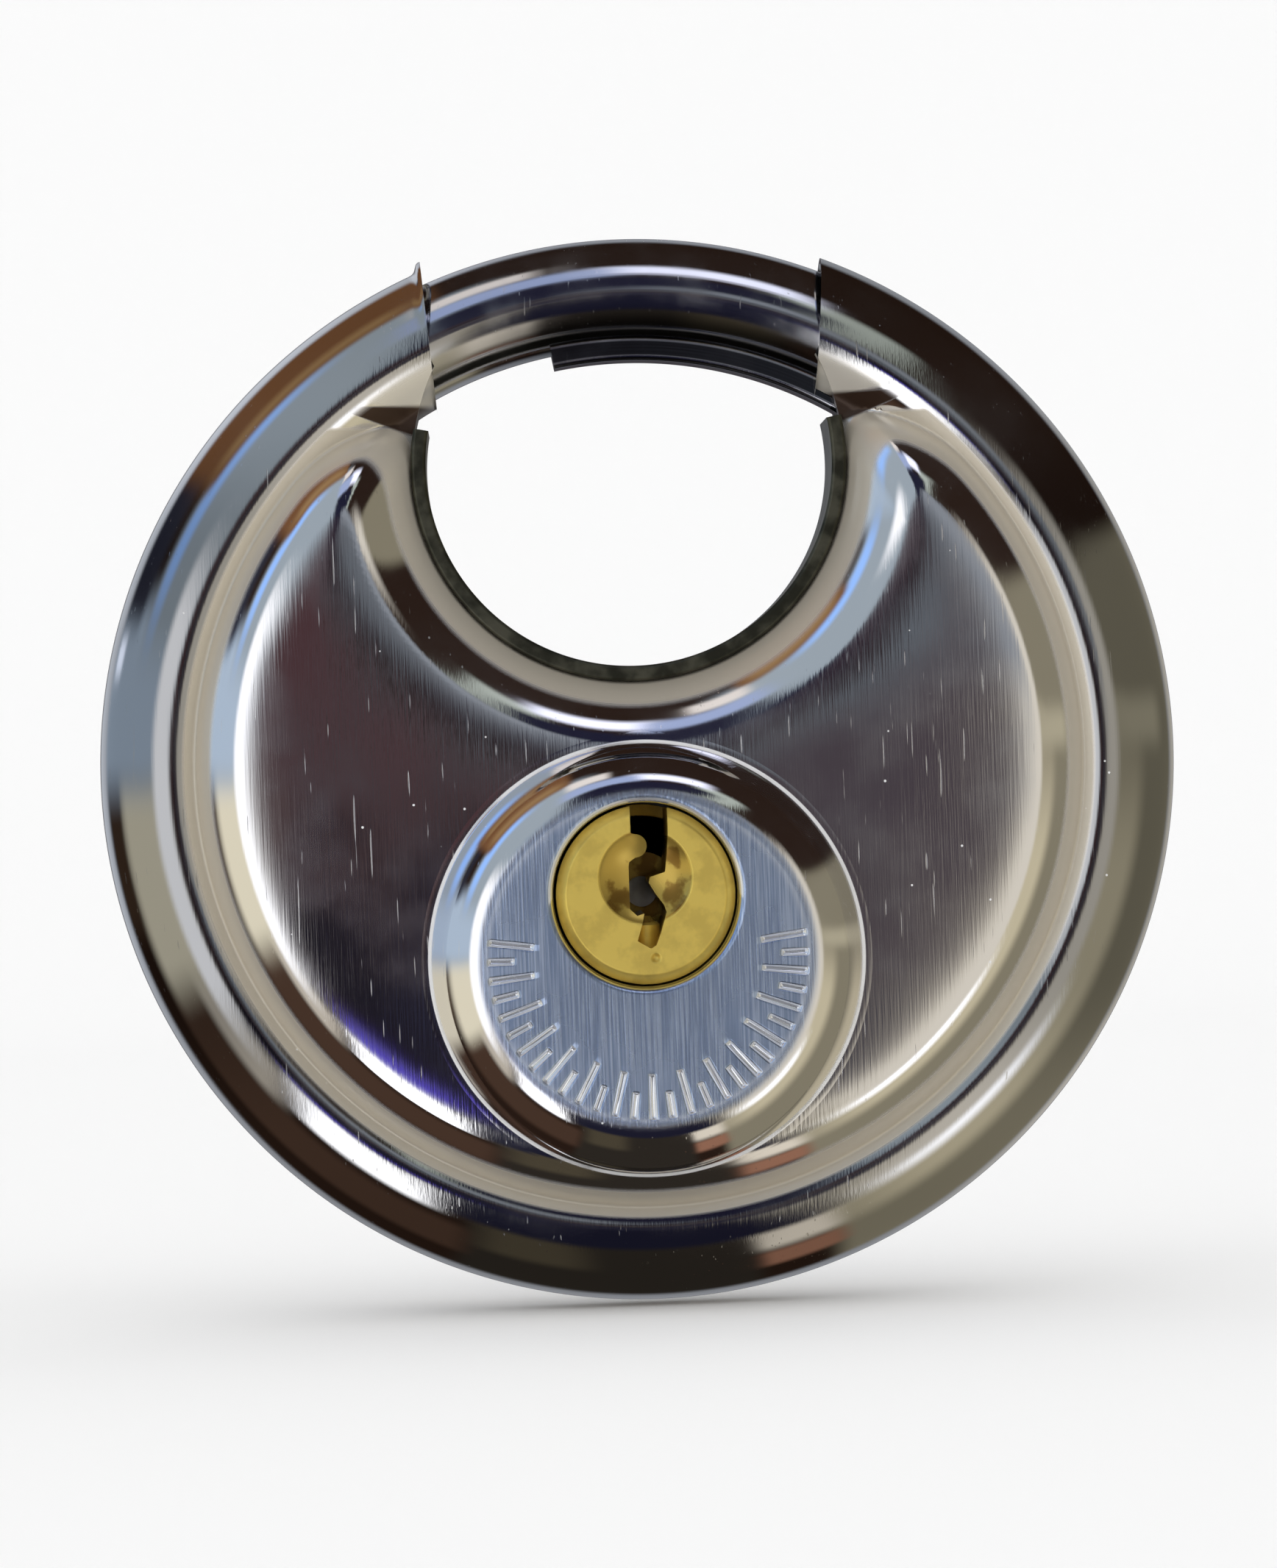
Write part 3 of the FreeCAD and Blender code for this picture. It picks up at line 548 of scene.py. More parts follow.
def from_outline(outline):
    """Signed distance outside a closed outline, as a keep function about the plug's axis."""

    def keep(points):
        p = np.stack([points[:, 0], points[:, 2] - PLUG_Z], axis=-1)
        nearest = np.full(len(p), 1e9)
        inside = np.zeros(len(p), bool)
        for a, b in zip(outline, np.roll(outline, -1, axis=0)):
            run = b - a
            t = np.clip(((p - a) @ run) / (run @ run), 0, 1)
            nearest = np.minimum(nearest, np.linalg.norm(p - a - t[:, None] * run, axis=1))
            crosses = (a[1] > p[:, 1]) != (b[1] > p[:, 1])
            if run[1] != 0:
                inside ^= crosses & (p[:, 0] < a[0] + run[0] * (p[:, 1] - a[1]) / run[1])
        return np.where(inside, -nearest, nearest)

    return keep


def plug_depth(x, z):
    """How far the plug's face lies in front of the middle plane: flat, bevelled rim, dished circle."""
    r = np.hypot(x, z)
    bevel = np.clip((r - PLUG_FLAT) / (PLUG_RADIUS - PLUG_FLAT), 0, 1)
    face = PLUG_FACE - BEVEL_DROP * bevel**1.1
    from_dish = np.hypot(x, z - DISH_RISE) / DISH_RADIUS
    dish = DISH_DEPTH * np.clip(1 - from_dish**2.0, 0, 1) ** 0.75
    dot = DOT_DEPTH * np.exp(-((np.hypot(x - DOT_X, z - DOT_Z) / DOT_RADIUS) ** 4))
    return face - dish - dot


def plug_front():
    """Face and side of the brass plug with the keyway cut through it."""
    around = np.radians(np.linspace(0, 360, 420, endpoint=False))
    rows = []
    for r in np.linspace(PLUG_RADIUS, 0.02, 84):
        x, z = clock(r, around)
        rows.append(np.stack([x, -plug_depth(x, z), z + PLUG_Z], axis=-1))
    tail = rows[0].copy()
    tail[:, 1] = PLUG_TAIL
    closed = (tail, np.tile([0.0, 1.0, 0.0], (len(tail), 1)), [list(range(len(tail)))])
    side = grid_sheet(np.array([tail, rows[0]]), round_trip=True)
    face = grid_sheet(np.array(rows), round_trip=True)
    outline = keyway()
    keep = from_outline(outline)
    walls = []
    for a, b in zip(outline[:-1], outline[1:]):
        steps = np.linspace(0, 1, max(2, int(np.linalg.norm(b - a) / 0.15) + 2))
        line = a + (b - a) * steps[:, None]
        line = line[np.hypot(line[:, 0], line[:, 1]) <= PLUG_RADIUS]
        if len(line) < 2:
            continue
        top = -plug_depth(line[:, 0], line[:, 1])
        net = []
        for deep in (0.0, 0.4, 2.0, 6.0, 12.0):
            depth = np.minimum(top + deep, KEYWAY_BACK)
            net.append(np.stack([line[:, 0], depth, line[:, 1] + PLUG_Z], axis=-1))
        walls.append(grid_sheet(np.array(net), flip=True))
    return [trim(side, keep), trim(face, keep), closed] + walls


def build_pieces():
    made = {}
    made["front"] = shell("polished_front_shell", "front_shell", True)
    made["rear"] = shell("polished_rear_shell", "rear_shell", False)
    made["bar"] = piece("polished_bar", shackle_bar(), "shackle", ["shackle"])
    made["lining"] = piece("throat_lining", lining(), "body", ["throat_liner"])
    made["plug"] = piece("keyed_plug_face", plug_front(), "plug", ["plug"])
    return made


# --- finishes ---------------------------------------------------------------------------------------


def linear(colour):
    """sRGB hex to linear RGBA."""
    parts = [int(colour[i : i + 2], 16) / 255 for i in (1, 3, 5)]
    return [c / 12.92 if c <= 0.04045 else ((c + 0.055) / 1.055) ** 2.4 for c in parts] + [1.0]


def add(tree, kind, inputs=None, **settings):
    """Adds a node with its settings, and feeds its inputs from values or from other sockets."""
    made = tree.nodes.new(kind)
    for name, value in settings.items():
        setattr(made, name, value)
    for name, value in (inputs or {}).items():
        if isinstance(value, bpy.types.NodeSocket):
            tree.links.new(value, made.inputs[name])
        else:
            made.inputs[name].default_value = value
    return made


def new_material(name):
    material = bpy.data.materials.new(name)
    material.use_nodes = True
    tree = material.node_tree
    tree.nodes.clear()
    return material, tree


def finish_with(tree, shader):
    add(tree, "ShaderNodeOutputMaterial", {"Surface": shader})


def blend_colour(tree, factor, a, b):
    """Colour a where factor is 0 and b where it is 1; each is a hex value or a socket."""
    a, b = (linear(c) if isinstance(c, str) else c for c in (a, b))
    made = add(tree, "ShaderNodeMix", data_type="RGBA")
    for socket, value in ((made.inputs[0], factor), (made.inputs[6], a), (made.inputs[7], b)):
        if isinstance(value, bpy.types.NodeSocket):
            tree.links.new(value, socket)
        else:
            socket.default_value = value
    return made.outputs[2]


def place_on_disc(tree):
    """Position on the padlock in millimetres from the disc's axis, with its x, y and z apart."""
    here = add(tree, "ShaderNodeTexCoord").outputs["Object"]
    moved = add(tree, "ShaderNodeVectorMath", {0: here, 1: tuple(DISC_AXIS)}, operation="SUBTRACT")
    scaled = add(tree, "ShaderNodeVectorMath", {0: moved.outputs[0], "Scale": 1 / MM}, operation="SCALE")
    apart = add(tree, "ShaderNodeSeparateXYZ", {0: scaled.outputs[0]})
    return scaled.outputs[0], apart


def streaks(tree, place, pitch, run, detail=3.0, turn=(0, 0, 0)):
    """Noise drawn out along Z: pitch and run are the width and length of a streak in millimetres."""
    scale = (1 / pitch, 1 / pitch, 1 / run)
    mapping = add(tree, "ShaderNodeMapping", {"Vector": place, "Rotation": turn, "Scale": scale})
    noise = {"Vector": mapping.outputs[0], "Scale": 1.0, "Detail": detail}
    return add(tree, "ShaderNodeTexNoise", noise).outputs[0]


def ramp(tree, value, low, high, out_low=0.0, out_high=1.0):
    """Smooth step from out_low at low to out_high at high."""
    return add(
        tree,
        "ShaderNodeMapRange",
        {"Value": value, "From Min": low, "From Max": high, "To Min": out_low, "To Max": out_high},
        interpolation_type="SMOOTHSTEP",
    ).outputs[0]


def calc(tree, operation, a, b=0.0, c=0.0):
    return add(tree, "ShaderNodeMath", {0: a, 1: b, 2: c}, operation=operation).outputs[0]


def product(tree, first, *others):
    """Product of any number of masks."""
    for other in others:
        first = calc(tree, "MULTIPLY", first, other)
    return first


def near(tree, value, centre, outer, inner):
    """Mask that is 1 within inner of centre and fades to 0 at outer."""
    return ramp(tree, calc(tree, "ABSOLUTE", calc(tree, "SUBTRACT", value, centre)), outer, inner)


def distance_from(tree, apart, centre_z):
    """Distance in the disc's plane from a centre on its upright middle line."""
    x = apart.outputs["X"]
    z = calc(tree, "SUBTRACT", apart.outputs["Z"], centre_z)
    flat = add(tree, "ShaderNodeCombineXYZ", {"X": x, "Z": z})
    return add(tree, "ShaderNodeVectorMath", {0: flat.outputs[0]}, operation="LENGTH").outputs["Value"]


def specks(tree, place, spacing, size, share):
    """Scattered dots: spacing and size in millimetres, share is how many cells hold one."""
    cells = add(tree, "ShaderNodeTexVoronoi", {"Vector": place, "Scale": 1 / spacing, "Randomness": 1.0})
    dot = ramp(tree, cells.outputs["Distance"], size / spacing, size / spacing * 0.55)
    chosen = add(tree, "ShaderNodeSeparateXYZ", {0: cells.outputs["Color"]}).outputs["X"]
    return product(tree, dot, calc(tree, "GREATER_THAN", chosen, 1 - share))


def mirror_polished_stainless():
    """Stainless sheet, pressed and buffed: near a mirror on the flats and shoulders, satin in the creases that the
    buff doesn't reach, brushed on the raised plate, with hairlines and dust. Painted into its colour are shade
    that greys the rim, most at its sides, and darkens the valley above each horn; pale reflections in the creases
    and on the wall below each valley; a blue-grey reflection on the plate; and a white highlight along the plate's
    foot. It gives crisp light and dark bands on the curves, and soft pale outlines between them."""
    material, tree = new_material("mirror_polished_stainless")
    place, apart = place_on_disc(tree)
    normal = add(tree, "ShaderNodeNewGeometry").outputs["Normal"]
    facing = add(tree, "ShaderNodeSeparateXYZ", {0: normal})
    flat = ramp(tree, calc(tree, "ABSOLUTE", facing.outputs["Y"]), 0.90, 0.995)
    from_boss = distance_from(tree, apart, BOSS_Z)
    from_disc = distance_from(tree, apart, 0.0)
    depth = calc(tree, "ABSOLUTE", apart.outputs["Y"])
    plate = product(
        tree, ramp(tree, depth, HALF_DEPTH - 0.25, HALF_DEPTH - 0.02), ramp(tree, from_boss, 11.1, 10.3)
    )
    off_plate = calc(tree, "SUBTRACT", 1.0, plate)

    # buffing and brushing lines are about 0.03 mm apart; drawn at 0.13 to 0.2 mm so that they show
    buffing = streaks(tree, place, 0.13, 5.0)
    brushing = streaks(tree, place, 0.13, 7.0, 4.0)
    haze = add(tree, "ShaderNodeTexNoise", {"Vector": place, "Scale": 1 / 6.0, "Detail": 4.0}).outputs[0]
    wave = add(tree, "ShaderNodeTexNoise", {"Vector": place, "Scale": 1 / 13.0, "Detail": 1.0}).outputs[0]
    leaning = ramp(tree, streaks(tree, place, 0.16, 5.0, 1.0, (0, 0.6, 0)), 0.74, 0.79)
    crossing = ramp(tree, streaks(tree, place, 0.2, 4.0, 1.0, (0, -1.1, 0.3)), 0.74, 0.79)
    hairline = product(tree, calc(tree, "MAXIMUM", leaning, crossing), off_plate)
    dust = product(tree, specks(tree, place, 1.6, 0.10, 0.3), flat, off_plate)

    # painted reflection: the crease round the raised middle and the throat is coloured pale cream; the wheel
    # leaves it satin
    in_ring = ramp(tree, from_disc, 29.55, 29.25)
    low = product(tree, ramp(tree, depth, 6.75, 6.25), ramp(tree, depth, 3.2, 3.9))
    below_horn = ramp(tree, apart.outputs["Z"], HORN_TOP + 0.1, HORN_TOP - 0.3)
    crease = product(tree, in_ring, low, below_horn)

    # painted shade: the valley above each horn is coloured dark brown in a lens that widens towards the throat;
    # the wall below it is coloured pale as a painted reflection
    beside = calc(tree, "SUBTRACT", calc(tree, "ABSOLUTE", apart.outputs["X"]), VALLEY_X)
    valley_z = calc(tree, "MULTIPLY_ADD", beside, VALLEY_LEAN, HORN_TOP + 0.45)
    off_valley = calc(tree, "SUBTRACT", apart.outputs["Z"], valley_z)
    valley_half = calc(tree, "MULTIPLY_ADD", beside, -VALLEY_LEAN, VALLEY_HALF)
    in_valley = calc(
        tree, "DIVIDE", calc(tree, "ABSOLUTE", off_valley), calc(tree, "MAXIMUM", valley_half, 0.05)
    )
    grime_and_painted_shade = product(
        tree, ramp(tree, in_valley, 1.15, 0.8), ramp(tree, depth, 4.95, 4.6), ramp(tree, beside, 3.4, 2.6)
    )
    painted_wall_reflection = product(tree, ramp(tree, from_disc, 29.6, 28.6), ramp(tree, off_valley, 0.4, 0.9))

    # painted highlight: a thin white line, patchy along its length, where the round plate rises; with the dust
    # specks it makes one near-white mask
    painted_plate_foot_highlight = near(tree, from_boss, BOSS_RADIUS + 0.02, 0.16, 0.06)
    painted_plate_foot_highlight = product(tree, painted_plate_foot_highlight, ramp(tree, haze, 0.30, 0.5, 0.35, 0.9))
    dust_and_painted_highlight = calc(tree, "MAXIMUM", dust, painted_plate_foot_highlight)

    # painted shade: the rim is coloured greyer than the middle, most of all at its two sides, to dim its
    # reflections there
    rim = ramp(tree, from_disc, 29.0, 29.6)
    level = ramp(tree, calc(tree, "ABSOLUTE", apart.outputs["Z"]), 32.0, 14.0)
    off_level = ramp(tree, level, 1.0, 0.0)
    steel = blend_colour(tree, product(tree, rim, level), "#ececf0", "#a4a5a8")
    steel = blend_colour(tree, product(tree, rim, off_level), steel, "#c2c2c4")

    # the stamped strokes stay clean and bright on the brushed plate; the plate's blue-grey, paler along its brush
    # lines, is a painted reflection
    stroke = product(
        tree,
        ramp(tree, from_boss, 10.5, 10.2),
        ramp(tree, from_boss, 7.1, 7.3),
        ramp(tree, depth, HALF_DEPTH - 0.02, HALF_DEPTH - 0.06),
    )
    steel = blend_colour(tree, plate, steel, "#93a5c6")
    steel = blend_colour(tree, product(tree, plate, ramp(tree, brushing, 0.38, 0.66)), steel, "#bccbe6")
    steel = blend_colour(tree, stroke, steel, "#eef2fa")
    steel = blend_colour(tree, crease, steel, "#cdc5b6")
    steel = blend_colour(tree, painted_wall_reflection, steel, "#dcd7cc")
    steel = blend_colour(tree, grime_and_painted_shade, steel, "#3b2a20")
    steel = blend_colour(tree, dust_and_painted_highlight, steel, "#f2f2f2")

    rough = calc(tree, "ADD", ramp(tree, haze, 0.35, 0.75, 0.05, 0.12), product(tree, plate, 0.20))
    rough = calc(tree, "ADD", rough, product(tree, hairline, 0.18))
    for mask, least in ((crease, 0.36), (calc(tree, "MAXIMUM", grime_and_painted_shade, painted_wall_reflection), 0.3), (dust_and_painted_highlight, 0.6)):
        rough = calc(tree, "MAXIMUM", rough, product(tree, mask, least))

    # heights in units of 0.01 mm
    relief = product(tree, calc(tree, "SUBTRACT", buffing, 0.5), flat, 0.22)
    brushed = product(tree, calc(tree, "SUBTRACT", brushing, 0.5), plate, 1.1)
    relief = calc(tree, "ADD", relief, brushed)
    relief = calc(tree, "SUBTRACT", relief, product(tree, hairline, 0.12))
    relief = calc(tree, "ADD", relief, product(tree, wave, flat, 9.0))
    bump = add(tree, "ShaderNodeBump", {"Height": relief, "Strength": 1.0, "Distance": 0.00001})
    satin = calc(tree, "MAXIMUM", crease, calc(tree, "MAXIMUM", grime_and_painted_shade, painted_wall_reflection))
    metal = 1.0
    for mask, loss in ((dust_and_painted_highlight, 0.8), (satin, 0.55), (plate, 0.10), (stroke, 0.25)):
        metal = calc(tree, "SUBTRACT", metal, product(tree, mask, loss))
    shader = add(
        tree,
        "ShaderNodeBsdfPrincipled",
        {"Base Color": steel, "Metallic": metal, "Roughness": rough, "Normal": bump.outputs[0]},
    )
    finish_with(tree, shader.outputs["BSDF"])
    return material


def lining_steel():
    """Strip steel left as rolled, coloured a dull olive-grey as painted shade for the dark inside of the throat:
    cloudy and lightly scuffed, so that the throat reads as a plain dark edge inside the bright shell."""
    material, tree = new_material("strip_steel_with_painted_shade")
    place, _ = place_on_disc(tree)
    cloud = add(tree, "ShaderNodeTexNoise", {"Vector": place, "Scale": 1 / 1.8, "Detail": 6.0}).outputs[0]
    # painted shade: dark olive-grey, its tone varied at random by the cloud
    colour = blend_colour(tree, ramp(tree, cloud, 0.35, 0.65), "#34342c", "#57564b")
    scuff = add(tree, "ShaderNodeTexNoise", {"Vector": place, "Scale": 1 / 0.25, "Detail": 4.0}).outputs[0]
    bump = add(tree, "ShaderNodeBump", {"Height": scuff, "Strength": 1.0, "Distance": 0.000008})
    rough = ramp(tree, cloud, 0.3, 0.7, 0.3, 0.45)
    shader = add(
        tree,
        "ShaderNodeBsdfPrincipled",
        {"Base Color": colour, "Metallic": 0.85, "Roughness": rough, "Normal": bump.outputs[0]},
    )
    finish_with(tree, shader.outputs["BSDF"])
    return material


def polished_bar_steel():
    """Hardened steel bar, ground and polished along its length: bright over its outer side and darkened with
    painted shade over its inner side, with painted highlights along the keel's long edges, and faint lines round
    the bend that draw its reflections out into long bands."""
    material, tree = new_material("polished_hardened_steel_bar")
    place, apart = place_on_disc(tree)
    radius = distance_from(tree, apart, 0.0)
    rings = add(tree, "ShaderNodeCombineXYZ", {"X": product(tree, radius, 5.0), "Y": apart.outputs["Y"]})
    line_noise = {"Vector": rings.outputs[0], "Scale": 1.2, "Detail": 3.0}
    lines = add(tree, "ShaderNodeTexNoise", line_noise).outputs[0]
    haze = add(tree, "ShaderNodeTexNoise", {"Vector": place, "Scale": 1 / 4.0, "Detail": 5.0}).outputs[0]
    scratch = ramp(tree, streaks(tree, place, 0.18, 3.0, 1.0, (0, -0.9, 0)), 0.72, 0.77)
    rough = calc(tree, "ADD", ramp(tree, haze, 0.35, 0.7, 0.07, 0.16), product(tree, scratch, 0.15))

    # painted shade: darker towards the keel, less so at the left; painted highlights: thin bright lines along the
    # keel's long edges
    rightwards = ramp(tree, apart.outputs["X"], -11.0, -3.0, 0.25, 0.9)
    inner_side = product(tree, ramp(tree, radius, 29.9, 28.4), rightwards)
    root = near(tree, radius, KEEL_LINE, 0.13, 0.03)
    toe = near(tree, radius, KEEL_INNER + 0.3, 0.12, 0.03)
    steel = blend_colour(tree, inner_side, "#d4d5da", "#2b2c35")
    edges = calc(tree, "MAXIMUM", root, product(tree, toe, 0.8))
    steel = blend_colour(tree, edges, steel, "#f0f1f6")
    bump = add(tree, "ShaderNodeBump", {"Height": lines, "Strength": 1.0, "Distance": 0.000002})
    shader = add(
        tree,
        "ShaderNodeBsdfPrincipled",
        {"Base Color": steel, "Metallic": 1.0, "Roughness": rough, "Normal": bump.outputs[0]},
    )
    finish_with(tree, shader.outputs["BSDF"])
    return material


def turned_brass():
    """Brass turned on a lathe: golden, with fine rings about the plug's axis that soften its shine; stained brown
    in patches, most of all in the dish where keys rub, and the dish darkened brown all over as painted shade."""
    material, tree = new_material("turned_brass")
    place, apart = place_on_disc(tree)
    from_plug = distance_from(tree, apart, PLUG_Z)
    from_dish = distance_from(tree, apart, PLUG_Z + DISH_RISE)
    rings = add(tree, "ShaderNodeCombineXYZ", {"X": product(tree, from_plug, 9.0)})
    line_noise = {"Vector": rings.outputs[0], "Scale": 1.0, "Detail": 3.0}
    lines = add(tree, "ShaderNodeTexNoise", line_noise).outputs[0]
    grime_and_painted_shade = add(tree, "ShaderNodeTexNoise", {"Vector": place, "Scale": 1 / 1.6, "Detail": 6.0}).outputs[0]
    dished = ramp(tree, from_dish, DISH_RADIUS + 0.05, DISH_RADIUS - 0.15)
    # brown stain patches from the noise, strongest in the dish; then painted shade darkening the whole dish
    tarnish_and_dish_shade = product(tree, ramp(tree, grime_and_painted_shade, 0.42, 0.62), ramp(tree, dished, 0.0, 1.0, 0.22, 1.0))
    tarnish_and_dish_shade = calc(tree, "MAXIMUM", tarnish_and_dish_shade, product(tree, dished, 0.55))
    colour = blend_colour(tree, tarnish_and_dish_shade, "#ecd06a", "#86672a")
    rough = ramp(tree, dished, 0.0, 1.0, 0.40, 0.24)
    bump = add(tree, "ShaderNodeBump", {"Height": lines, "Strength": 1.0, "Distance": 0.000004})
    shader = add(
        tree,
        "ShaderNodeBsdfPrincipled",
        {"Base Color": colour, "Metallic": 0.72, "Roughness": rough, "Normal": bump.outputs[0]},
    )
    finish_with(tree, shader.outputs["BSDF"])
    return material


def plated_steel(name, bright, dull, rough_low, rough_high):
    """Plain inner steel parts, plated or drawn: soft grey, a little cloudy, with a short faint grain."""
    material, tree = new_material(name)
    place, _ = place_on_disc(tree)
    cloud = add(tree, "ShaderNodeTexNoise", {"Vector": place, "Scale": 1 / 2.5, "Detail": 6.0}).outputs[0]
    grain = streaks(tree, place, 0.2, 1.5)
    colour = blend_colour(tree, ramp(tree, cloud, 0.3, 0.7), bright, dull)
    bump = add(tree, "ShaderNodeBump", {"Height": grain, "Strength": 1.0, "Distance": 0.000006})
    rough = ramp(tree, cloud, 0.3, 0.7, rough_low, rough_high)
    shader = add(
        tree,
        "ShaderNodeBsdfPrincipled",
        {"Base Color": colour, "Metallic": 1.0, "Roughness": rough, "Normal": bump.outputs[0]},
    )
    finish_with(tree, shader.outputs["BSDF"])
    return material


# --- stage ------------------------------------------------------------------------------------------

CAMERA_DISTANCE = 0.45
CAMERA_SIDE = math.radians(-1.2)
CAMERA_ROLL = math.radians(2.0)
VIEW_WIDTH = 0.0833
VIEW_DROP = 0.0014
FLOOR_GAP = 0.0003
SENSOR_MM = 36

# What the polish reflects: a painted room round the padlock. Each patch has the clock angle of its
# middle (0 up, 90 right) and its tilt away from straight in front, its half width and half height,
# the softness of both edges, in degrees, then its colour and strength.
ROOM = "#2a1d16"
PATCHES = [
    ("right_wall", 112, 96, 46, 84, 2, 6, "#5f5a4b", 2.2),
    ("right_wall_low", 124, 38, 30, 28, 12, 14, "#958d76", 2.0),
    ("right_lamp", 136, 28, 13, 9, 8, 8, "#ffffff", 1.7),
    ("right_doorpost", 87, 60, 2.5, 45, 2, 15, "#7f7966", 2.2),
    ("right_near", 105, 16, 46, 10, 10, 6, "#d6cfc0", 1.1),
    ("cupboard", 162, 85, 5, 14, 1.5, 6, "#71503f", 1.9),
    ("table_edge", 162, 42, 5, 24, 2, 8, "#aca495", 1.9),
    ("under", 184, 90, 17, 95, 1.5, 10, "#25211c", 1.5),
    ("under_near", 193, 50, 6, 28, 3, 8, "#3b3529", 1.7),
    ("low_left_brown", 223, 76, 22, 24, 2, 8, "#37281f", 1.8),
    ("left_low", 237, 32, 9, 18, 3, 8, "#8f887c", 2.0),
    ("left_wall", 258, 52, 13, 42, 4, 12, "#a19b88", 2.3),
    ("left_blind", 262, 112, 9, 14, 3, 5, "#33261c", 1.8),
    ("left_window", 280, 92, 11, 84, 4, 12, "#7c8894", 2.3),
    ("window_catch", 284, 118, 2, 8, 1.5, 4, "#e8f0ff", 2.0),
    ("curtain", 297, 120, 9, 30, 3, 8, "#20212b", 1.8),
    ("up_left_haze", 315, 40, 29, 36, 6, 8, "#7d868c", 1.8),
    ("sky_strip", 306, 66, 16, 7, 8, 5, "#7a9bcc", 1.9),
    ("beam", 322, 120, 17, 50, 2, 6, "#5c3e27", 1.8),
    ("beam_edge", 322, 80, 14, 6, 4, 8, "#7a6040", 1.8),
    ("left_near", 268, 20, 30, 13, 8, 6, "#ffffff", 1.35),
    ("low_lamp", 215, 26, 9, 16, 3, 5, "#ffffff", 2.2),
    ("low_lamp_fringe", 215, 8, 10, 2, 4, 2, "#5b4cc8", 1.0),
    ("top_haze", 29, 28, 8, 17, 3, 5, "#8a9088", 1.8),
    ("top_lamp", 11, 47, 13, 8, 4, 5, "#eceeff", 1.5),
    ("top_blue", -12, 43, 13, 10, 4, 5, "#8f9cbc", 1.4),
    ("top_left_card", -16, 63, 7, 8, 2, 4, "#d8d0c8", 1.3),
    ("top_dark", 3, 18, 26, 14, 4, 5, "#1a1a2c", 1.3),
    ("under_blue", 180, 20, 24, 17, 5, 5, "#191927", 1.3),
    ("front_up_haze", 48, 9, 36, 4, 10, 3, "#84898f", 1.15),
    ("rear_wall", 0, 180, 400, 44, 1, 8, "#9b9ea3", 1.0),
    ("rear_window", -70, 145, 50, 14, 20, 8, "#d7dce4", 1.1),
    ("rear_card", 100, 150, 40, 12, 20, 8, "#c2bdb2", 1.1),
    ("rear_dark", 0, 180, 400, 13, 1, 9, "#4a474c", 1.0),
    ("front_left", 295, 3, 45, 3.5, 35, 3, "#4b3336", 1.0),
    ("front_low_left", 225, 3, 24, 3.5, 30, 3, "#161620", 1.0),
    ("front_right", 90, 3, 40, 3.5, 30, 3, "#473f45", 1.0),
    ("front_up_right", 50, 4, 14, 3.0, 10, 3, "#646a70", 1.0),
    ("front_low", 165, 3, 35, 3.5, 16, 3, "#2a2a3a", 1.0),
]


def studio_world():
    """Pale to the eye and to the floor; the painted room is seen only in reflections."""
    world = bpy.data.worlds.new("studio")
    world.use_nodes = True
    tree = world.node_tree
    tree.nodes.clear()
    way = add(tree, "ShaderNodeSeparateXYZ", {0: add(tree, "ShaderNodeTexCoord").outputs["Generated"]})
    clock_angle = calc(tree, "DEGREES", calc(tree, "ARCTAN2", way.outputs["X"], way.outputs["Z"]))
    tilt = calc(tree, "DEGREES", calc(tree, "ARCCOSINE", calc(tree, "MULTIPLY", way.outputs["Y"], -1.0)))
    colour = linear(ROOM)
    for _, side, lean, half_width, half_height, soft_side, soft_lean, tint, strength in PATCHES:
        turned = calc(tree, "WRAP", calc(tree, "SUBTRACT", clock_angle, float(side)), 180.0, -180.0)
        across = calc(tree, "ABSOLUTE", turned)
        along = calc(tree, "ABSOLUTE", calc(tree, "SUBTRACT", tilt, float(lean)))
        cover = product(
            tree,
            ramp(tree, across, half_width + soft_side, half_width - soft_side),
            ramp(tree, along, half_height + soft_lean, half_height - soft_lean),
        )
        paint = [c * strength for c in linear(tint)[:3]] + [1.0]
        colour = blend_colour(tree, cover, colour, paint)
    reflected = add(tree, "ShaderNodeBackground", {"Color": colour, "Strength": 1.0})
    pale = add(tree, "ShaderNodeBackground", {"Color": linear("#ffffff"), "Strength": 1.0})
    glossy = add(tree, "ShaderNodeLightPath").outputs["Is Glossy Ray"]
    mixed = add(tree, "ShaderNodeMixShader", {0: glossy, 1: pale.outputs[0], 2: reflected.outputs[0]})
    add(tree, "ShaderNodeOutputWorld", {"Surface": mixed.outputs[0]})
    bpy.context.scene.world = world


def set_camera():
    camera = bpy.data.objects.new("camera", bpy.data.cameras.new("camera"))
    bpy.context.scene.collection.objects.link(camera)
    target = DISC_AXIS - np.array([0, 0, VIEW_DROP])
    camera.location = target + CAMERA_DISTANCE * np.array([math.sin(CAMERA_SIDE), -math.cos(CAMERA_SIDE), 0])
    look = Matrix.Rotation(CAMERA_SIDE, 3, "Z") @ Matrix.Rotation(math.pi / 2, 3, "X")
    look = look @ Matrix.Rotation(-CAMERA_ROLL, 3, "Z")
    camera.rotation_euler = look.to_euler()
    camera.data.sensor_fit = "HORIZONTAL"
    camera.data.sensor_width = SENSOR_MM
    camera.data.lens = SENSOR_MM * CAMERA_DISTANCE / VIEW_WIDTH
    camera.data.clip_start = 0.01
    bpy.context.scene.camera = camera


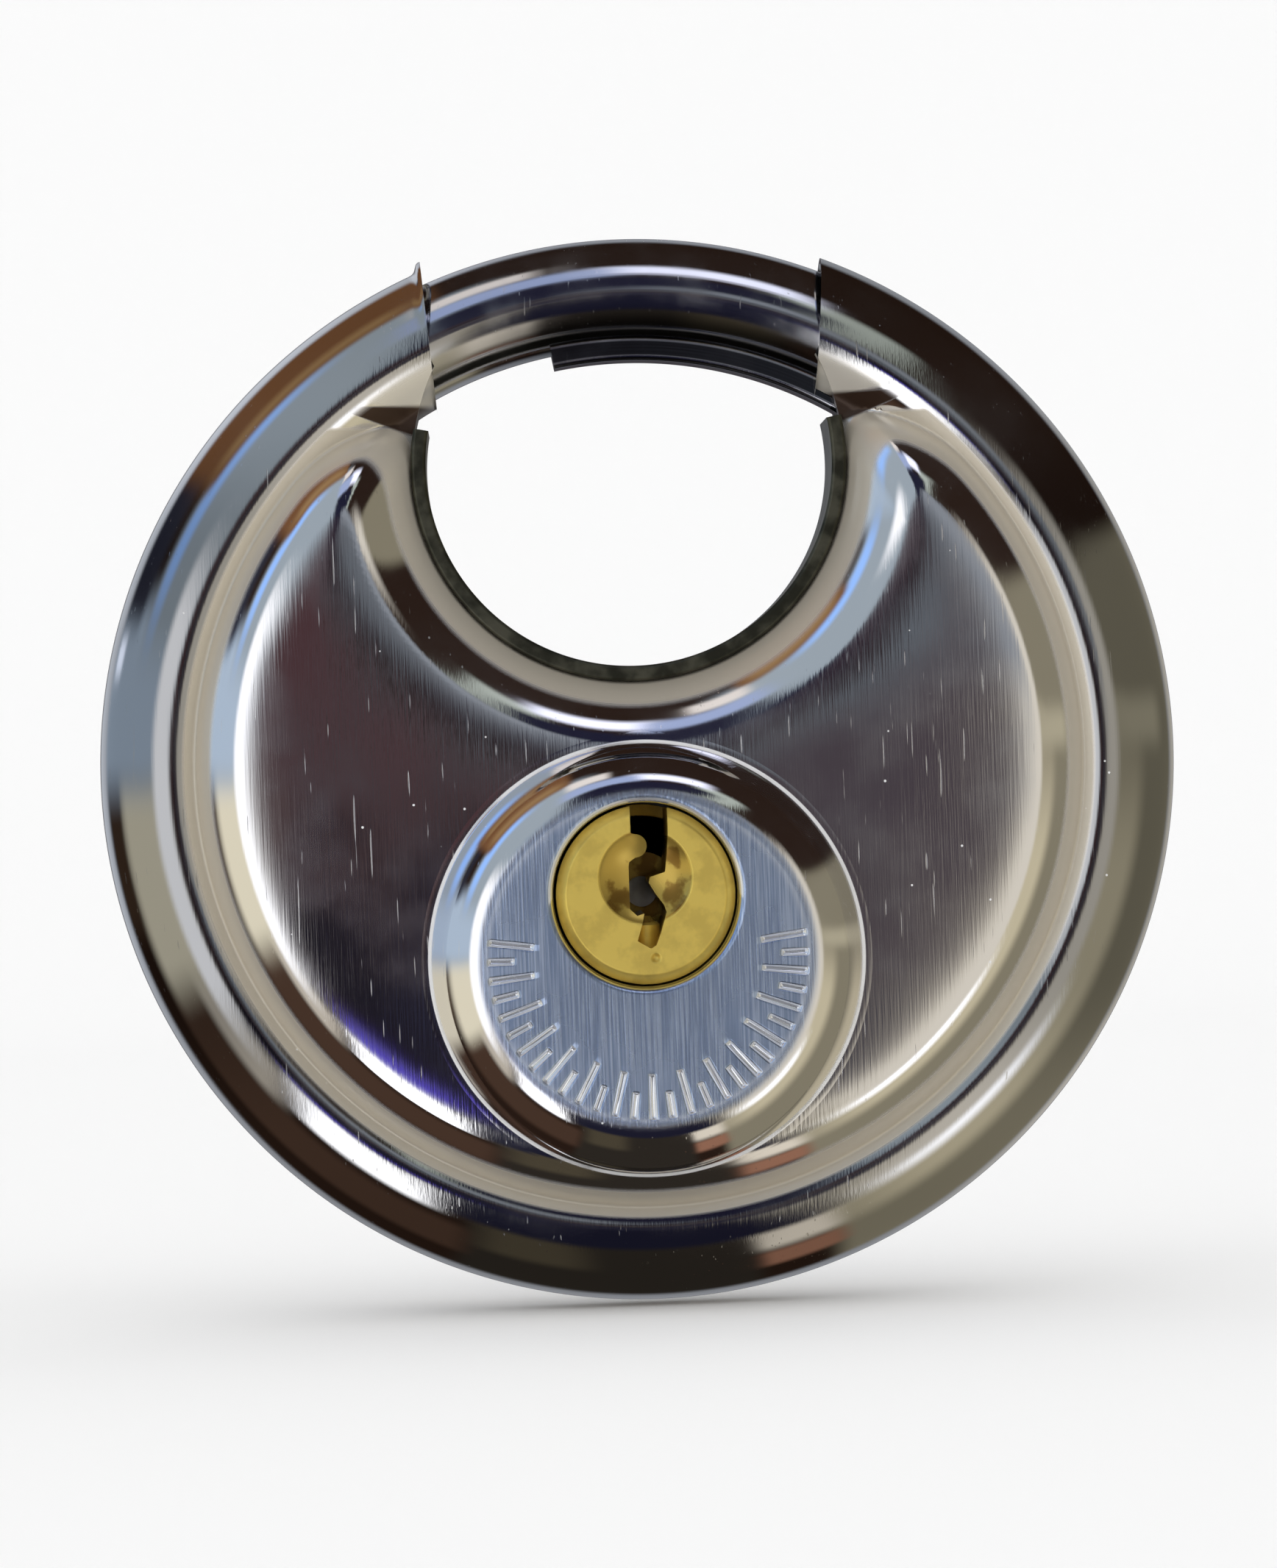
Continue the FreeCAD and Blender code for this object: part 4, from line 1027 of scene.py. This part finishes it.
def pale_sweep():
    """Plain pale floor that curves up behind the padlock."""
    reach, level_to, bend, rise = 1.6, 0.5, 0.35, 1.6
    profile = [(-reach, 0.0), (level_to, 0.0)]
    for a in np.radians(np.linspace(0, 90, 24)):
        profile.append((level_to + bend * math.sin(a), bend - bend * math.cos(a)))
    profile.append((level_to + bend, rise))
    floor_z = cad_box[0][2] - FLOOR_GAP
    rows = np.array([[(x, y, z + floor_z) for x in np.linspace(-reach, reach, 9)] for y, z in profile])
    points, _, faces = grid_sheet(rows, flip=True)
    mesh = bpy.data.meshes.new("pale_sweep")
    mesh.from_pydata(points.tolist(), [], faces)
    mesh.shade_smooth()
    sweep = bpy.data.objects.new("pale_sweep", mesh)
    bpy.context.scene.collection.objects.link(sweep)
    material, tree = new_material("matt_white_paper")
    fibre = add(tree, "ShaderNodeTexNoise", {"Scale": 900.0, "Detail": 3.0}).outputs[0]
    bump = add(tree, "ShaderNodeBump", {"Height": fibre, "Strength": 0.1, "Distance": 0.0001})
    paper = {"Base Color": linear("#fdfdfd"), "Roughness": 0.9, "Specular IOR Level": 0.1}
    shader = add(tree, "ShaderNodeBsdfPrincipled", {**paper, "Normal": bump.outputs[0]})
    finish_with(tree, shader.outputs["BSDF"])
    mesh.materials.append(material)
    sweep.visible_glossy = False


def finish_pieces(pieces):
    by_slot = {
        "polished_stainless": mirror_polished_stainless(),
        "polished_hardened_steel": polished_bar_steel(),
        "zinc_plated_steel": plated_steel("zinc_plated_steel", "#a9adb2", "#7e8388", 0.28, 0.42),
        "brass": turned_brass(),
        "spring_steel": plated_steel("drawn_spring_wire", "#8d8f94", "#5f6268", 0.25, 0.35),
    }
    slots = {entry["node"]: entry["material_slot"] for entry in frame["record"]["subparts"]}
    for node, cad in frame["nodes"].items():
        for place in cad.material_slots:
            place.material = by_slot[slots[node]]
    for name, slot in (
        ("front", "polished_stainless"),
        ("rear", "polished_stainless"),
        ("bar", "polished_hardened_steel"),
        ("plug", "brass"),
    ):
        pieces[name].data.materials.append(by_slot[slot])
    pieces["lining"].data.materials.append(lining_steel())


finish_pieces(build_pieces())
studio_world()
set_camera()
pale_sweep()
bpy.context.scene.view_settings.view_transform = "Standard"
